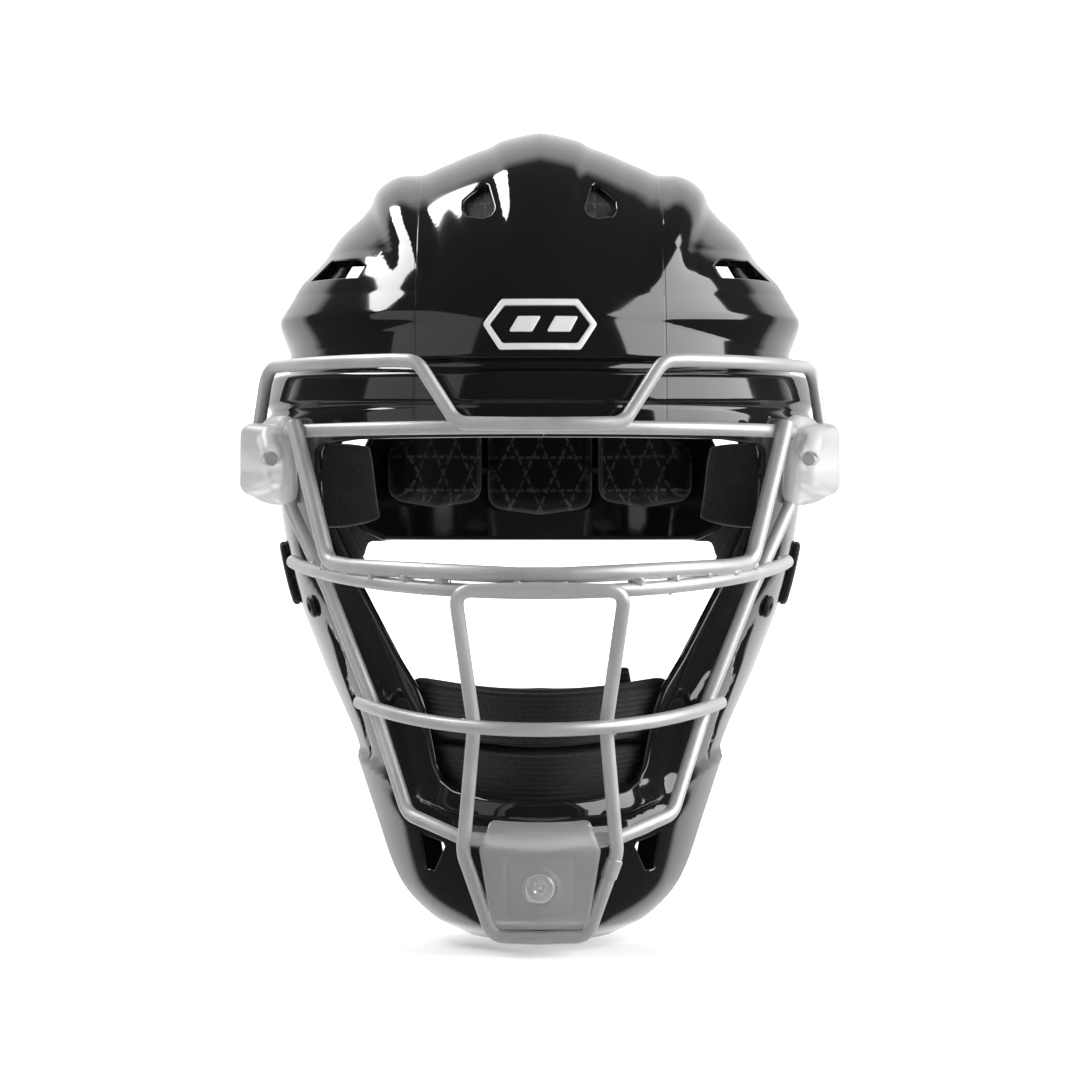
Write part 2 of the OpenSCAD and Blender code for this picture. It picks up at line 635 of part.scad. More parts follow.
front_shell();
brow_badge();
back_plate();
cage_brow_bar();
cage_outer_loop();
cage_eye_frame();
cage_cheek_bar();
cage_mouth_bar();
cage_nose_loop();
side_clip();  // side_clip_left
mirror([1, 0, 0]) side_clip();  // side_clip_right
chin_clip();
side_screw_place() clip_screw(clip_gap + clip_t, -side_nut_depth);  // side_screw_left
mirror([1, 0, 0]) side_screw_place() clip_screw(clip_gap + clip_t, -side_nut_depth);  // side_screw_right
chin_screw_place() clip_screw(12, -chin_nut_depth);  // chin_screw
side_screw_place() translate([0, 0, -side_nut_depth]) tee_nut();  // side_nut_left
mirror([1, 0, 0]) side_screw_place() translate([0, 0, -side_nut_depth]) tee_nut();  // side_nut_right
chin_screw_place() translate([0, 0, -chin_nut_depth]) tee_nut();  // chin_nut
brow_pad();
crown_pad_front();
crown_pad_rear();
temple_pad();  // temple_pad_left
mirror([1, 0, 0]) temple_pad();  // temple_pad_right
jaw_pad();  // jaw_pad_left
mirror([1, 0, 0]) jaw_pad();  // jaw_pad_right
chin_pad();
chin_pad_tab();
rear_pad(17, 44, 16);  // rear_pad_left
rear_pad(-14.5, 14.5, 12);  // rear_pad_centre
rear_pad(-44, -17, 16);  // rear_pad_right
eyelet();  // eyelet_left
mirror([1, 0, 0]) eyelet();  // eyelet_right
top_strap();
top_strap_anchor();
top_strap_loop();
hinge_bar();
hinge_bracket();
side_strap();  // side_strap_left
mirror([1, 0, 0]) side_strap();  // side_strap_right
strap_tab();  // strap_tab_left
mirror([1, 0, 0]) strap_tab();  // strap_tab_right
strap_slide();  // strap_slide_left
mirror([1, 0, 0]) strap_slide();  // strap_slide_right
strap_end();  // strap_end_left
mirror([1, 0, 0]) strap_end();  // strap_end_right
plate_rivets();
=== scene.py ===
"""Catcher's mask: the looks. Sizes in the tables are millimetres in the frame's own axes:
+X the wearer's left, -Y the way the face looks, +Z up, origin midway between the ears."""
import json
import math

import bmesh
import bpy
import numpy as np
from mathutils import Matrix, Vector

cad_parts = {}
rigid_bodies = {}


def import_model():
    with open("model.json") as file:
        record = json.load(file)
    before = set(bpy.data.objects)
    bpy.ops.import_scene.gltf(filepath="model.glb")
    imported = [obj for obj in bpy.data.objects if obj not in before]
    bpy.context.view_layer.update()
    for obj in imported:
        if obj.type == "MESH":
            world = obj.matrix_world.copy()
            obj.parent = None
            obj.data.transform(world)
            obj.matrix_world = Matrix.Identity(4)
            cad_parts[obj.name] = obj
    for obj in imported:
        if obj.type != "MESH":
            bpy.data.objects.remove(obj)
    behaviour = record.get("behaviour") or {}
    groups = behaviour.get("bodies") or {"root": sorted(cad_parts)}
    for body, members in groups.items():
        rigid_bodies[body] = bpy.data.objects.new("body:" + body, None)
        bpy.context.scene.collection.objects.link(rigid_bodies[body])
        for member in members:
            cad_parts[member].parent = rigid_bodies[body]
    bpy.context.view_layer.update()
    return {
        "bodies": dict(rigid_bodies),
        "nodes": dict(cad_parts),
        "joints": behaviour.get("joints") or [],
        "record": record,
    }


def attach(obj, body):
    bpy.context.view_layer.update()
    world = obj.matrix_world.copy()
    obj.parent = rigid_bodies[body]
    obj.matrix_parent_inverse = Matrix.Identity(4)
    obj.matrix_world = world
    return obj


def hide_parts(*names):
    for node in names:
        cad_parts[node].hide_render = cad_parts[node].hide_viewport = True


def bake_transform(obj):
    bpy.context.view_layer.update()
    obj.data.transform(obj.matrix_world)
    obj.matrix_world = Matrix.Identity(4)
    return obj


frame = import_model()

MM = 0.001
SHELL, CARRIAGE, PLATE = "shell", "strap_carriage", "back_plate"


# ---------------------------------------------------------------- numbers to curves
def mix(a, b, t):
    return a + (b - a) * t


def smooth(low, high, x):
    t = np.clip((np.asarray(x, float) - low) / (high - low), 0, 1)
    return t * t * (3 - 2 * t)


def curve(stations, x):
    """Smooth curve through (x, y) stations, level at its highest x and held beyond its ends."""
    table = np.array(sorted(stations), float)
    xs, ys = table[:, 0], table[:, 1]
    slopes = np.empty_like(ys)
    slopes[1:-1] = (ys[2:] - ys[:-2]) / (xs[2:] - xs[:-2])
    slopes[0] = (ys[1] - ys[0]) / (xs[1] - xs[0])
    slopes[-1] = 0
    x = np.clip(np.asarray(x, float), xs[0], xs[-1])
    i = np.clip(np.searchsorted(xs, x) - 1, 0, len(xs) - 2)
    w = xs[i + 1] - xs[i]
    t = (x - xs[i]) / w
    return (
        (2 * t**3 - 3 * t**2 + 1) * ys[i]
        + (t**3 - 2 * t**2 + t) * slopes[i] * w
        + (3 * t**2 - 2 * t**3) * ys[i + 1]
        + (t**3 - t**2) * slopes[i + 1] * w
    )


def creased(places, heights, x, fillet):
    """Straight runs between (place, height) pairs whose places may be arrays, with filleted creases."""
    total = 0
    taps = (-1, -0.6, -0.2, 0.2, 0.6, 1)
    for tap in taps:
        at = x + tap * fillet
        value = heights[0] + 0 * at
        for k in range(len(places) - 1):
            run = np.clip((at - places[k]) / np.maximum(places[k + 1] - places[k], 1e-6), 0, 1)
            value = value + (heights[k + 1] - heights[k]) * run
        total = total + value
    return total / len(taps)


def unit(v):
    return v / np.maximum(np.linalg.norm(v, axis=-1, keepdims=True), 1e-12)


# ---------------------------------------------------------------- the shell's surface
SHELL_W, SHELL_F, SHELL_B = 107.0, 124.0, 124.0
BROW_Z, DOME_H, JAW_H = 40.0, 125.0, 190.0
SHELL_T = 4.0
# Half width and front reach below the brow, by height.
JAW_WIDTH = (
    (40, 107), (10, 104.5), (-20, 98.5), (-48, 88), (-75, 77.5), (-105, 69.5), (-130, 62.5), (-144, 53), (-150, 42),
)
JAW_REACH = (
    (40, 124), (10, 125), (-20, 127), (-48, 129.5), (-75, 133), (-105, 138), (-130, 139.5), (-144, 134), (-150, 122),
)

# Ribs round the brow: height in the middle, height at the side, relief in the middle, relief at the side.
BROW_LINES = (
    (41.0, 41.0, 0.8, 2.0),
    (50.0, 47.5, 1.2, 2.4),
    (50.9, 51.0, 0.0, 1.0),
    (51.8, 54.0, 1.7, 3.6),
    (62.8, 64.0, 1.6, 2.6),
    (63.8, 65.4, -0.8, 0.2),
    (67.4, 67.0, -1.4, -3.4),
    (68.4, 68.4, 1.2, -2.6),
    (83.0, 75.0, 1.1, -1.8),
    (83.8, 83.6, 1.1, 4.0),
    (85.6, 85.6, 1.0, 4.9),
    (94.6, 94.6, 0.4, 3.0),
    (101.0, 101.0, 0.0, 2.6),
    (113.0, 113.0, 0.0, 0.0),
)
# Crown: shares of the shoulder's distance from the middle, and relief there.
CROWN_LINES = (
    (0.74, -4.6), (0.97, -4.0), (1.03, -2.6), (1.09, 0.4), (1.17, 2.1), (1.27, 2.5),
    (1.34, 1.5), (1.4, -0.9), (1.56, -1.2), (1.8, 0.6), (2.1, 0.4),
)
SHOULDER_X = ((160, 49.6), (141, 49.6), (126, 46.4), (114, 42.6), (99, 40.3), (90, 40))
CREST_X = ((165, 17.5), (157, 17), (143, 14.4), (130, 12.6), (105, 11), (95, 10.8))


def row_z(v):
    return np.where(v >= 0, BROW_Z + DOME_H * np.sin(np.pi / 2 * np.clip(v, 0, 1)), BROW_Z + JAW_H * v)


def row_of(z):
    z = np.asarray(z, float)
    dome = np.arcsin(np.clip((z - BROW_Z) / DOME_H, 0, 1)) / (np.pi / 2)
    return np.where(z >= BROW_Z, dome, (z - BROW_Z) / JAW_H)


def form(phi, v):
    """Smooth form's point and outward normal at azimuth phi (degrees, 0 the face, 90 = +X) and row v."""
    s, c = np.sin(np.radians(phi)), np.cos(np.radians(phi))
    ring = np.cos(np.pi / 2 * np.clip(v, 0, 1))
    z = row_z(v)
    low = v < 0
    width = np.where(low, curve(JAW_WIDTH, z), SHELL_W * ring)
    ahead = np.where(low, curve(JAW_REACH, z), SHELL_F * ring)
    behind = np.where(low, SHELL_B, SHELL_B * ring)
    far = np.where(c > 0, ahead, behind)
    point = np.stack([width * s, -far * c, z], -1)
    dz = 0.8
    dwidth = (curve(JAW_WIDTH, z) - curve(JAW_WIDTH, z - dz)) / dz
    dahead = np.where(c > 0, (curve(JAW_REACH, z) - curve(JAW_REACH, z - dz)) / dz, 0)
    full = np.where(c > 0, SHELL_F, SHELL_B)
    up = np.sin(np.pi / 2 * np.clip(v, 0, 1))
    nx = np.where(low, s, s * ring)
    ny = np.where(low, -c * width / np.maximum(far, 1e-9), -c * ring * SHELL_W / full)
    nz = np.where(low, -(s * s * dwidth + c * c * width / np.maximum(far, 1e-9) * dahead), SHELL_W / DOME_H * up)
    return point, unit(np.stack([nx, ny, nz], -1))


def relief(p, phi):
    """How far the moulded ribs stand out of the smooth form."""
    x, y, z = np.abs(p[..., 0]), p[..., 1], p[..., 2]
    a = np.abs((phi + 180) % 360 - 180)
    side = smooth(14, 64, a)
    rear = smooth(88, 128, a)
    places = [mix(m, s, side) for m, s, _, _ in BROW_LINES]
    reliefs = [mix(m, s, side) for _, _, m, s in BROW_LINES]
    ribs = creased(places, reliefs, z, 0.7) * smooth(24, 41, z)
    corner = creased((50, 76, 92), (0, 2.0, 0.2), a, 2.0)
    band = smooth(30, 44, z) - 0.8 * smooth(64, 67, z) + 0.8 * smooth(76, 84, z) - smooth(96, 112, z)
    ribs = (ribs + corner * band) * (1 - 0.8 * rear)
    shoulder = curve(SHOULDER_X, z)
    crest = curve(CREST_X, z)
    places = [0 * x, crest, crest * 1.18] + [s * shoulder for s, _ in CROWN_LINES]
    fade = smooth(92, 138, z)
    crest_fade = smooth(96, 140, z)
    reliefs = [0 * x, -2.2 * crest_fade, -3.7 * crest_fade] + [h * fade for _, h in CROWN_LINES]
    return ribs + creased(places, reliefs, x, 1.7) + jaw_relief(p, a)


def jaw_relief(p, a):
    """Steps of the jaw guard: a sunk margin round the face port and a flared lower jaw."""
    x, z = np.abs(p[..., 0]), p[..., 2]
    ahead = (a < 90) & (z < 38)
    edge = polygon_distance(FACE_PORT, x, z)
    sides = smooth(-100, -90, z) * (1 - smooth(-6, 14, z))
    margin = creased((0, 8.0, 10.5), (-3.2, -2.6, 0), edge, 1.2) * sides
    chin = creased((0, 7.0, 8.6, 12, 17), (0.6, 0.8, -2.6, -1.8, 0), edge, 1.1) * (1 - sides) * (z < -60)
    windows = 0
    for outline_xz in JAW_WINDOWS:
        windows = windows - 1.9 * (1 - smooth(-0.6, 0.6, polygon_distance(outline_xz, x, z)))
    flare = 2.4 * (1 - smooth(-86, -82, z - 0.55 * (x - 68))) * smooth(30, 48, a) * smooth(-149, -128, z)
    return np.where(ahead, margin + chin, 0) + np.where(a < 92, windows + flare, 0)


def polygon_distance(points, x, z):
    """Signed distance to a closed outline given as its half with x >= 0, mirrored; negative inside."""
    pts = np.array(points, float)
    best = np.full(np.shape(x), 1e9)
    inside = np.zeros(np.shape(x), bool)
    n = len(pts)
    for i in range(n):
        a, b = pts[i], pts[(i + 1) % n]
        ex, ez = b - a
        px, pz = x - a[0], z - a[1]
        t = np.clip((px * ex + pz * ez) / (ex * ex + ez * ez), 0, 1)
        if not (a[0] == 0 and b[0] == 0):
            best = np.minimum(best, (px - t * ex) ** 2 + (pz - t * ez) ** 2)
        crosses = (a[1] > z) != (b[1] > z)
        if a[1] != b[1]:
            inside ^= crosses & (x < (b[0] - a[0]) * (z - a[1]) / (b[1] - a[1]) + a[0])
    return np.where(inside, -np.sqrt(best), np.sqrt(best))


# Half outline of the face port in front view, and the rear edge in side view, as (x or y, z).
FACE_PORT = (
    (0, 40.5), (70, 40.5), (83, 39), (87, 35), (88, 26), (86.5, 0), (83, -9), (72.5, -20), (66, -32), (58, -46.5),
    (50.5, -58), (47.5, -66), (43.5, -86), (40.5, -91.5), (34, -94.5), (20, -96.8), (0, -97.5),
)
# Sunk three-cornered panels of the jaw guard, in front view.
JAW_WINDOWS = (
    ((83.2, -33), (76.4, -45), (75.4, -57)),
    ((75.6, -56), (71.4, -63), (65.4, -83)),
)
REAR_EDGE = (
    (160, 86), (108, 86), (92, 74), (76, 52), (64, 26), (55, 2), (42, -20), (18, -30),
    (-4, -37), (-24, -54), (-42, -74), (-58, -96), (-74, -122), (-88, -142), (-100, -160), (160, -160),
)


def skin(phi, v, off=0.0, ribs=1.0):
    p, n = form(phi, v)
    return p + n * (ribs * relief(p, phi) + off)[..., None]


def skin_normal(phi, v):
    """Outward normal of the ribbed surface."""
    e, f = 0.25, 0.0025
    v = np.clip(v, -0.999, 0.985)
    across = skin(phi + e, v) - skin(phi - e, v)
    up = skin(phi, np.minimum(v + f, 0.9875)) - skin(phi, v - f)
    return unit(np.cross(across, up))


# ---------------------------------------------------------------- cutting holes in the surface
class Patch:
    """A sheet of polygons on the surface, kept as (azimuth, row) pairs, that outlines can be cut out of."""

    def __init__(self, columns, rows):
        self.uv = [(c, r) for r in rows for c in columns]
        self.faces = strips(len(rows), len(columns))
        self.columns = len(columns)
        self.loops = []

    def cut(self, field, name):
        """Removes where field(point, azimuth) < 0. With a name, the new edge is kept as loops under it."""
        uv = np.array(self.uv)
        value = field(form(uv[:, 0], uv[:, 1])[0], uv[:, 0])
        near = {}
        for face in self.faces:
            for a, b in zip(face, face[1:] + face[:1]):
                if (value[a] < 0) != (value[b] < 0):
                    near[(min(a, b), max(a, b))] = None
        if not near:
            return set()
        keys = np.array(list(near))
        pa, pb = uv[keys[:, 0]].copy(), uv[keys[:, 1]].copy()
        turn = pb[:, 0] - pa[:, 0]
        pb[:, 0] -= 360 * np.round(turn / 360)
        lo, hi = np.zeros(len(keys)), np.ones(len(keys))
        fa = value[keys[:, 0]]
        for _ in range(12):
            t = (lo + hi) / 2
            q = pa + (pb - pa) * t[:, None]
            same = (field(form(q[:, 0], q[:, 1])[0], q[:, 0]) < 0) == (fa < 0)
            lo, hi = np.where(same, t, lo), np.where(same, hi, t)
        t = (lo + hi) / 2
        q = pa + (pb - pa) * t[:, None]
        on = set()
        snap = {}
        for k, (a, b) in enumerate(keys):
            for vertex, share in ((a, t[k]), (b, 1 - t[k])):
                if share < 0.22 and share < snap.get(vertex, (1, 0))[0]:
                    snap[vertex] = (share, k)
        for vertex, (_, k) in snap.items():
            self.uv[vertex] = tuple(q[k])
            on.add(vertex)
        made = {}

        def crossing(a, b, k_of={tuple(key): k for k, key in enumerate(keys)}):
            key = (min(a, b), max(a, b))
            if key not in made:
                made[key] = len(self.uv)
                self.uv.append(tuple(q[k_of[key]]))
                on.add(made[key])
            return made[key]

        kept = []
        for face in self.faces:
            signs = [0 if i in on else (1 if value[i] >= 0 else -1) for i in face]
            if all(s >= 0 for s in signs) and any(signs):
                kept.append(face)
                continue
            if all(s <= 0 for s in signs):
                continue
            out = []
            for a, b, sa, sb in zip(face, face[1:] + face[:1], signs, signs[1:] + signs[:1]):
                if sa >= 0:
                    out.append(a)
                if sa * sb < 0:
                    out.append(crossing(a, b))
            if len(out) > 2:
                kept.append(out)
        self.faces = kept
        if name:
            self.record(on, name)
        return on

    def record(self, on, name):
        count = {}
        for face in self.faces:
            for a, b in zip(face, face[1:] + face[:1]):
                key = (min(a, b), max(a, b))
                count[key] = count.get(key, 0) + 1
        follow = {}
        for face in self.faces:
            for a, b in zip(face, face[1:] + face[:1]):
                if a in on and b in on and count[(min(a, b), max(a, b))] == 1:
                    follow[b] = a
        while follow:
            start, now = follow.popitem()
            loop = [start, now]
            while now in follow:
                now = follow.pop(now)
                loop.append(now)
            if loop[-1] == loop[0]:
                loop.pop()
            if len(loop) > 5:
                self.loops.append((name, loop))


def vent_field(points, ahead=True):
    """Field of a mirrored window whose half outline is given in front view, on the face or the back."""

    def field(p, phi):
        inside = polygon_distance(points, np.abs(p[..., 0]), p[..., 2])
        return np.where((p[..., 1] < 0) == ahead, inside, 9.0)

    return field


def side_field(points):
    """Field of a window in both cheeks whose outline is given in side view, as (y, z)."""

    def field(p, phi):
        inside = polygon_distance(points, p[..., 1] + 500, p[..., 2])
        return np.where(np.abs(p[..., 0]) > 30, inside, 9.0)

    return field


def shifted(points, by=500):
    return [(y + by, z) for y, z in points]


def spot_field(phi, z, half_height, half_width, corner, turn=0.0):
    """Field of a mirrored rounded rectangle on the surface at azimuth phi and height z."""
    centre, normal = form(np.array(float(phi)), row_of(z))
    side = unit(np.cross([0, 0, 1.0], normal))
    up = np.cross(normal, side)
    c, s = math.cos(math.radians(turn)), math.sin(math.radians(turn))
    side, up = c * side + s * up, c * up - s * side

    def field(p, azimuth):
        q = np.concatenate([np.abs(p[..., :1]), p[..., 1:]], -1) - centre
        x = np.abs(q @ side) - (half_width - corner)
        y = np.abs(q @ up) - (half_height - corner)
        d = np.hypot(np.maximum(x, 0), np.maximum(y, 0)) + np.minimum(np.maximum(x, y), 0) - corner
        return np.where(np.abs(q @ normal) < 14, d, 9.0)

    return field


def rear_field(p, phi):
    return polygon_distance(shifted(REAR_EDGE), p[..., 1] + 500, p[..., 2])


def port_field(p, phi):
    d = polygon_distance(FACE_PORT, np.abs(p[..., 0]), p[..., 2])
    return np.where(p[..., 1] < 0, d, 9.0)


# Outlines of the vents and ear holes, in front view and side view.
FRONT_VENT = (
    (32, 135.5), (22.6, 143), (20.4, 141.6), (17.4, 130.6), (18.4, 127.2), (22.3, 125.4), (29.9, 127), (32, 130.2),
)
CHEEK_VENT = ((88, 100.5), (82, 110.5), (69, 109.5), (66, 105.6), (68.6, 100.3))
CHIN_VENT = ((44.8, -109.6), (34.8, -113.4), (38.9, -125), (42.2, -125))
EAR_HOLE = ((-6, 4), (14, 2), (26, 8), (22, 26), (14, 34), (-4, 34), (-10, 20))
STRAP_SLOT_PHI, STRAP_Z, STRAP_W, STRAP_T = 99, -11, 25.0, 1.6
# The side screws and the eyelets, as (azimuth, height).
SIDE_SCREW, EYELET = (73, 22), (67, -26)
# Further vents, as (azimuth, height, half height, half width, corner, turn).
REAR_VENT = (114, 112, 7, 11, 3, 0)
VENTS = (
    (95, 150, 8, 6.5, 2, 0),
    (92, 128, 4.5, 12, 3, 0),
    (142, 141, 9, 6.5, 2, 8),
    (150, 112, 5, 10, 3, 0),
)


def strips(rows, sides, start=0, closed=False):
    """Quads between following rings of points; closed joins the last ring to the first."""
    turns = [(j, (j + 1) % sides) for j in range(sides)]
    return [
        [start + i * sides + j, start + i * sides + k, start + n * sides + k, start + n * sides + j]
        for i in range(rows if closed else rows - 1) for n in [(i + 1) % rows] for j, k in turns
    ]


def turned_over(face):
    return face[:1] + face[:0:-1]


def end_faces(rows, sides):
    return [list(range(sides - 1, -1, -1)), [(rows - 1) * sides + j for j in range(sides)]]


def placed(name, data):
    """New object of the scene."""
    obj = bpy.data.objects.new(name, data)
    bpy.context.scene.collection.objects.link(obj)
    return obj


def new_mesh(name, points, faces, normals=None, uv=None, sharp=None):
    """Object from points in millimetres; normals and uv are per point, sharp an angle in degrees."""
    mesh = bpy.data.meshes.new(name)
    mesh.from_pydata([tuple(p) for p in np.asarray(points, float) * MM], [], [list(map(int, f)) for f in faces])
    mesh.polygons.foreach_set("use_smooth", [True] * len(mesh.polygons))
    if uv is not None:
        corner = np.empty(len(mesh.loops), int)
        mesh.loops.foreach_get("vertex_index", corner)
        layer = mesh.uv_layers.new(name="uv")
        layer.data.foreach_set("uv", np.asarray(uv, float)[corner].ravel())
    if sharp is not None:
        mesh.set_sharp_from_angle(angle=math.radians(sharp))
    if normals is not None:
        mesh.normals_split_custom_set_from_vertices([tuple(n) for n in normals])
    mesh.validate()
    mesh.update()
    return placed(name, mesh)


def edge_profile(name, outer, inner, normal, away):
    """Rings of (point, normal) from the outer to the inner surface round a cut edge."""
    rings = []
    if name == "rim":
        half = np.linalg.norm(outer - inner, axis=1)[:, None] / 2
        for k in range(1, 8):
            t = math.pi * k / 8
            p = mix(outer, inner, (1 - math.cos(t)) / 2) + away * half * math.sin(t)
            rings.append((p, unit(normal * math.cos(t) + away * math.sin(t))))
        return rings
    fillet, depth, draw = {"vent": (1.0, 8.0, 1.4), "hole": (0.6, 4.0, 0.0)}[name]
    for k in range(1, 5):
        t = math.pi / 2 * k / 4
        p = outer - normal * fillet * (1 - math.cos(t)) + away * fillet * math.sin(t)
        rings.append((p, unit(normal * math.cos(t) + away * math.sin(t))))
    wall = unit(away + normal * draw / depth)
    for share in (0.05, 0.5, 1.0):
        p = outer - normal * mix(fillet, depth, share) + away * (fillet + draw * share)
        rings.append((p, wall))
    back = unit(outer - inner)
    rings.append((outer - normal * (depth + 0.4) + away * (fillet + draw - 0.6), -normal))
    rings.append((outer - normal * (depth + 0.4) + away * 0.2, unit(-normal - away)))
    rings.append((outer - normal * (np.linalg.norm(outer - inner, axis=1)[:, None] + 0.4) + away * 0.1, -back))
    return rings


def sheet_with_edges(name, patch, outer_of, inner_of, normal_of):
    """Closed shell from a patch: outer face, inner face, and a moulded edge round every cut."""
    used = sorted({i for f in patch.faces for i in f})
    index = {v: k for k, v in enumerate(used)}
    uv = np.array([patch.uv[i] for i in used])
    outer, inner = outer_of(uv[:, 0], uv[:, 1]), inner_of(uv[:, 0], uv[:, 1])
    normal = normal_of(uv[:, 0], uv[:, 1])
    n = len(used)
    points, normals = [outer, inner], [normal, -normal]
    faces = [[index[i] for i in f] for f in patch.faces]
    faces += [[n + index[i] for i in reversed(f)] for f in patch.faces]
    base = 2 * n
    for kind, loop in patch.loops:
        ids = np.array([index[i] for i in loop])
        po, pi, no = outer[ids], inner[ids], normal[ids]
        along = unit(np.roll(po, -1, 0) - np.roll(po, 1, 0))
        away = unit(np.cross(no, along))
        for _ in range(3):
            away = unit(np.roll(away, 1, 0) + 2 * away + np.roll(away, -1, 0))
            away = unit(away - no * np.sum(away * no, 1, keepdims=True))
        m = len(ids)
        steps = [ids]
        for p, q in edge_profile(kind, po, pi, no, away):
            points.append(p)
            normals.append(q)
            steps.append(np.arange(base, base + m))
            base += m
        steps.append(n + ids)
        for now, after in zip(steps, steps[1:]):
            faces += [[now[j], now[(j + 1) % m], after[(j + 1) % m], after[j]] for j in range(m)]
    return new_mesh(name, np.concatenate(points), faces, np.concatenate(normals))


def add_cap(patch, first):
    """Closes the patch's top row with a fan round its pole."""
    n = patch.columns
    pole = len(patch.uv)
    patch.uv.append((0.0, 1.0))
    for j in range(n):
        patch.faces.append([first + j, first + (j + 1) % n, pole])


def front_shell():
    fine = 1.2
    columns = list(np.arange(-180, 180, fine))
    bands = ((-150, -126, 2.0), (-126, -88, 1.6), (-88, 24, 2.4), (24, 40, 1.6))
    low = np.concatenate([np.arange(*band) for band in bands])
    ribs = np.arange(40, 103, 0.8)
    tops = row_of(ribs[-1]) + (0.985 - row_of(ribs[-1])) * np.arange(1, 46) / 45
    rows = [float(r) for r in np.concatenate([row_of(low), row_of(ribs), tops])]
    patch = Patch(columns, rows)
    add_cap(patch, (len(rows) - 1) * len(columns))
    patch.cut(port_field, "rim")
    rear = patch.cut(rear_field, None)
    patch.cut(vent_field(FRONT_VENT), "vent")
    patch.cut(vent_field(CHEEK_VENT), "hole")
    patch.cut(vent_field(CHIN_VENT), "vent")
    patch.cut(side_field(shifted(EAR_HOLE)), "rim")
    patch.cut(spot_field(*REAR_VENT), "hole")
    for place in VENTS:
        patch.cut(spot_field(*place), "vent")
    patch.cut(spot_field(STRAP_SLOT_PHI, STRAP_Z, STRAP_W / 2 + 1.5, 2.6, 2.4), "hole")
    patch.cut(spot_field(*EYELET, 3.1, 3.1, 3.0), "hole")
    patch.record(rear | set(range(len(columns))), "rim")
    return sheet_with_edges(
        "shell_front", patch, skin, lambda p, v: skin(p, v, -SHELL_T, 0.75), skin_normal
    )


shell = front_shell()
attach(shell, SHELL)
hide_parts("front_shell")


# ---------------------------------------------------------------- shapes that repeat
def mirrored(obj, name):
    """The other side's copy of a piece."""
    mesh = obj.data.copy()
    mesh.transform(Matrix.Diagonal((-1, 1, 1, 1)))
    mesh.flip_normals()
    twin = placed(name, mesh)
    for modifier in obj.modifiers:
        if modifier.type == "SUBSURF":
            subdivide(twin, modifier.levels)
    return twin


def subdivide(obj, levels=1):
    modifier = obj.modifiers.new("subdivision", "SUBSURF")
    modifier.levels = modifier.render_levels = levels
    modifier.use_limit_surface = False
    return obj


def rounded(corners, loop=False, steps=10):
    """Line of points through corners, each (point, radius), with the corners rounded off."""
    out = []
    n = len(corners)
    for i, (p, radius) in enumerate(corners):
        p = np.array(p, float)
        if radius == 0 or (not loop and i in (0, n - 1)):
            out.append(p)
            continue
        before, after = np.array(corners[i - 1][0], float), np.array(corners[(i + 1) % n][0], float)
        u, w = unit(before - p), unit(after - p)
        half = math.acos(max(-1, min(1, float(u @ w)))) / 2
        reach = min(radius / math.tan(half), 0.45 * np.linalg.norm(before - p), 0.45 * np.linalg.norm(after - p))
        a, b = p + u * reach, p + w * reach
        out += [mix(mix(a, p, t), mix(p, b, t), t) for t in np.arange(steps + 1) / steps]
    return np.array(out)


def outline(corners, radius=None, step=1.5, steps=6):
    """Closed 2D outline, rounded by each corner's own radius or the one given, with close points."""
    corners = [((*c[:2], 0), radius if radius is not None else c[2]) for c in corners]
    line = rounded(corners, True, steps)[:, :2]
    out = []
    for a, b in zip(line, np.roll(line, -1, 0)):
        k = max(1, int(np.linalg.norm(b - a) / step))
        out += [mix(a, b, t) for t in np.arange(k) / k]
    return np.array(out)


def inset_of(points, edge):
    """Distance of each 2D point from a closed outline."""
    a, b = edge, np.roll(edge, -1, 0)
    d = b - a
    q = points[:, None, :] - a[None]
    t = np.clip((q * d).sum(-1) / np.maximum((d * d).sum(-1), 1e-9), 0, 1)
    return np.sqrt(((q - t[..., None] * d) ** 2).sum(-1)).min(1)


def bulge(d, reach):
    """Quarter-round rise from 0 at an edge to 1 at reach inside it."""
    return np.sqrt(1 - (1 - np.clip(d / reach, 0, 1)) ** 2)


def rolled(top, drop, reach):
    """Height by distance from the edge: top, falling by drop within reach of the edge."""
    return lambda d: top - drop * (1 - np.clip(d / reach, 0, 1)) ** 2


def panel(name, edge, place, front, back=None, spine=None, rings=16, relief=None, sharp=None):
    """Closed form over a 2D outline. front and back give heights by distance inside it."""
    centre = edge.mean(0)
    if spine is None:
        target = np.repeat(centre[None], len(edge), 0)
    else:
        a, b = np.array(spine, float)
        t = np.clip((edge - a) @ (b - a) / ((b - a) @ (b - a)), 0, 1)[:, None]
        target = mix(a, b, t)
    shares = [1 - (k / rings) ** 1.7 * 0.97 for k in range(rings + 1)]
    m = len(edge)
    flat, high, low = [], [], []
    for s in shares:
        q = target + (edge - target) * s
        d = inset_of(q, edge) if s < 1 else np.zeros(m)
        h = front(d)
        if relief is not None:
            h = h + relief(q[:, 0], q[:, 1]) * np.clip(d / 2.5, 0, 1)
        flat.append(q)
        high.append(h)
        low.append(back(d) if back is not None else np.zeros(m))
    flat = np.concatenate(flat)
    points = np.concatenate([place(flat[:, 0], flat[:, 1], np.concatenate(h)) for h in (high, low)])
    count = m * (rings + 1)
    faces = [f for face in strips(rings + 1, m) for f in (face, [count + i for i in turned_over(face)])]
    faces += [[j, count + j, count + (j + 1) % m, (j + 1) % m] for j in range(m)]
    faces.append([rings * m + j for j in range(m)])
    faces.append([count + rings * m + j for j in range(m - 1, -1, -1)])
    return new_mesh(name, points, faces, uv=np.concatenate([flat, flat]) * 0.01, sharp=sharp)


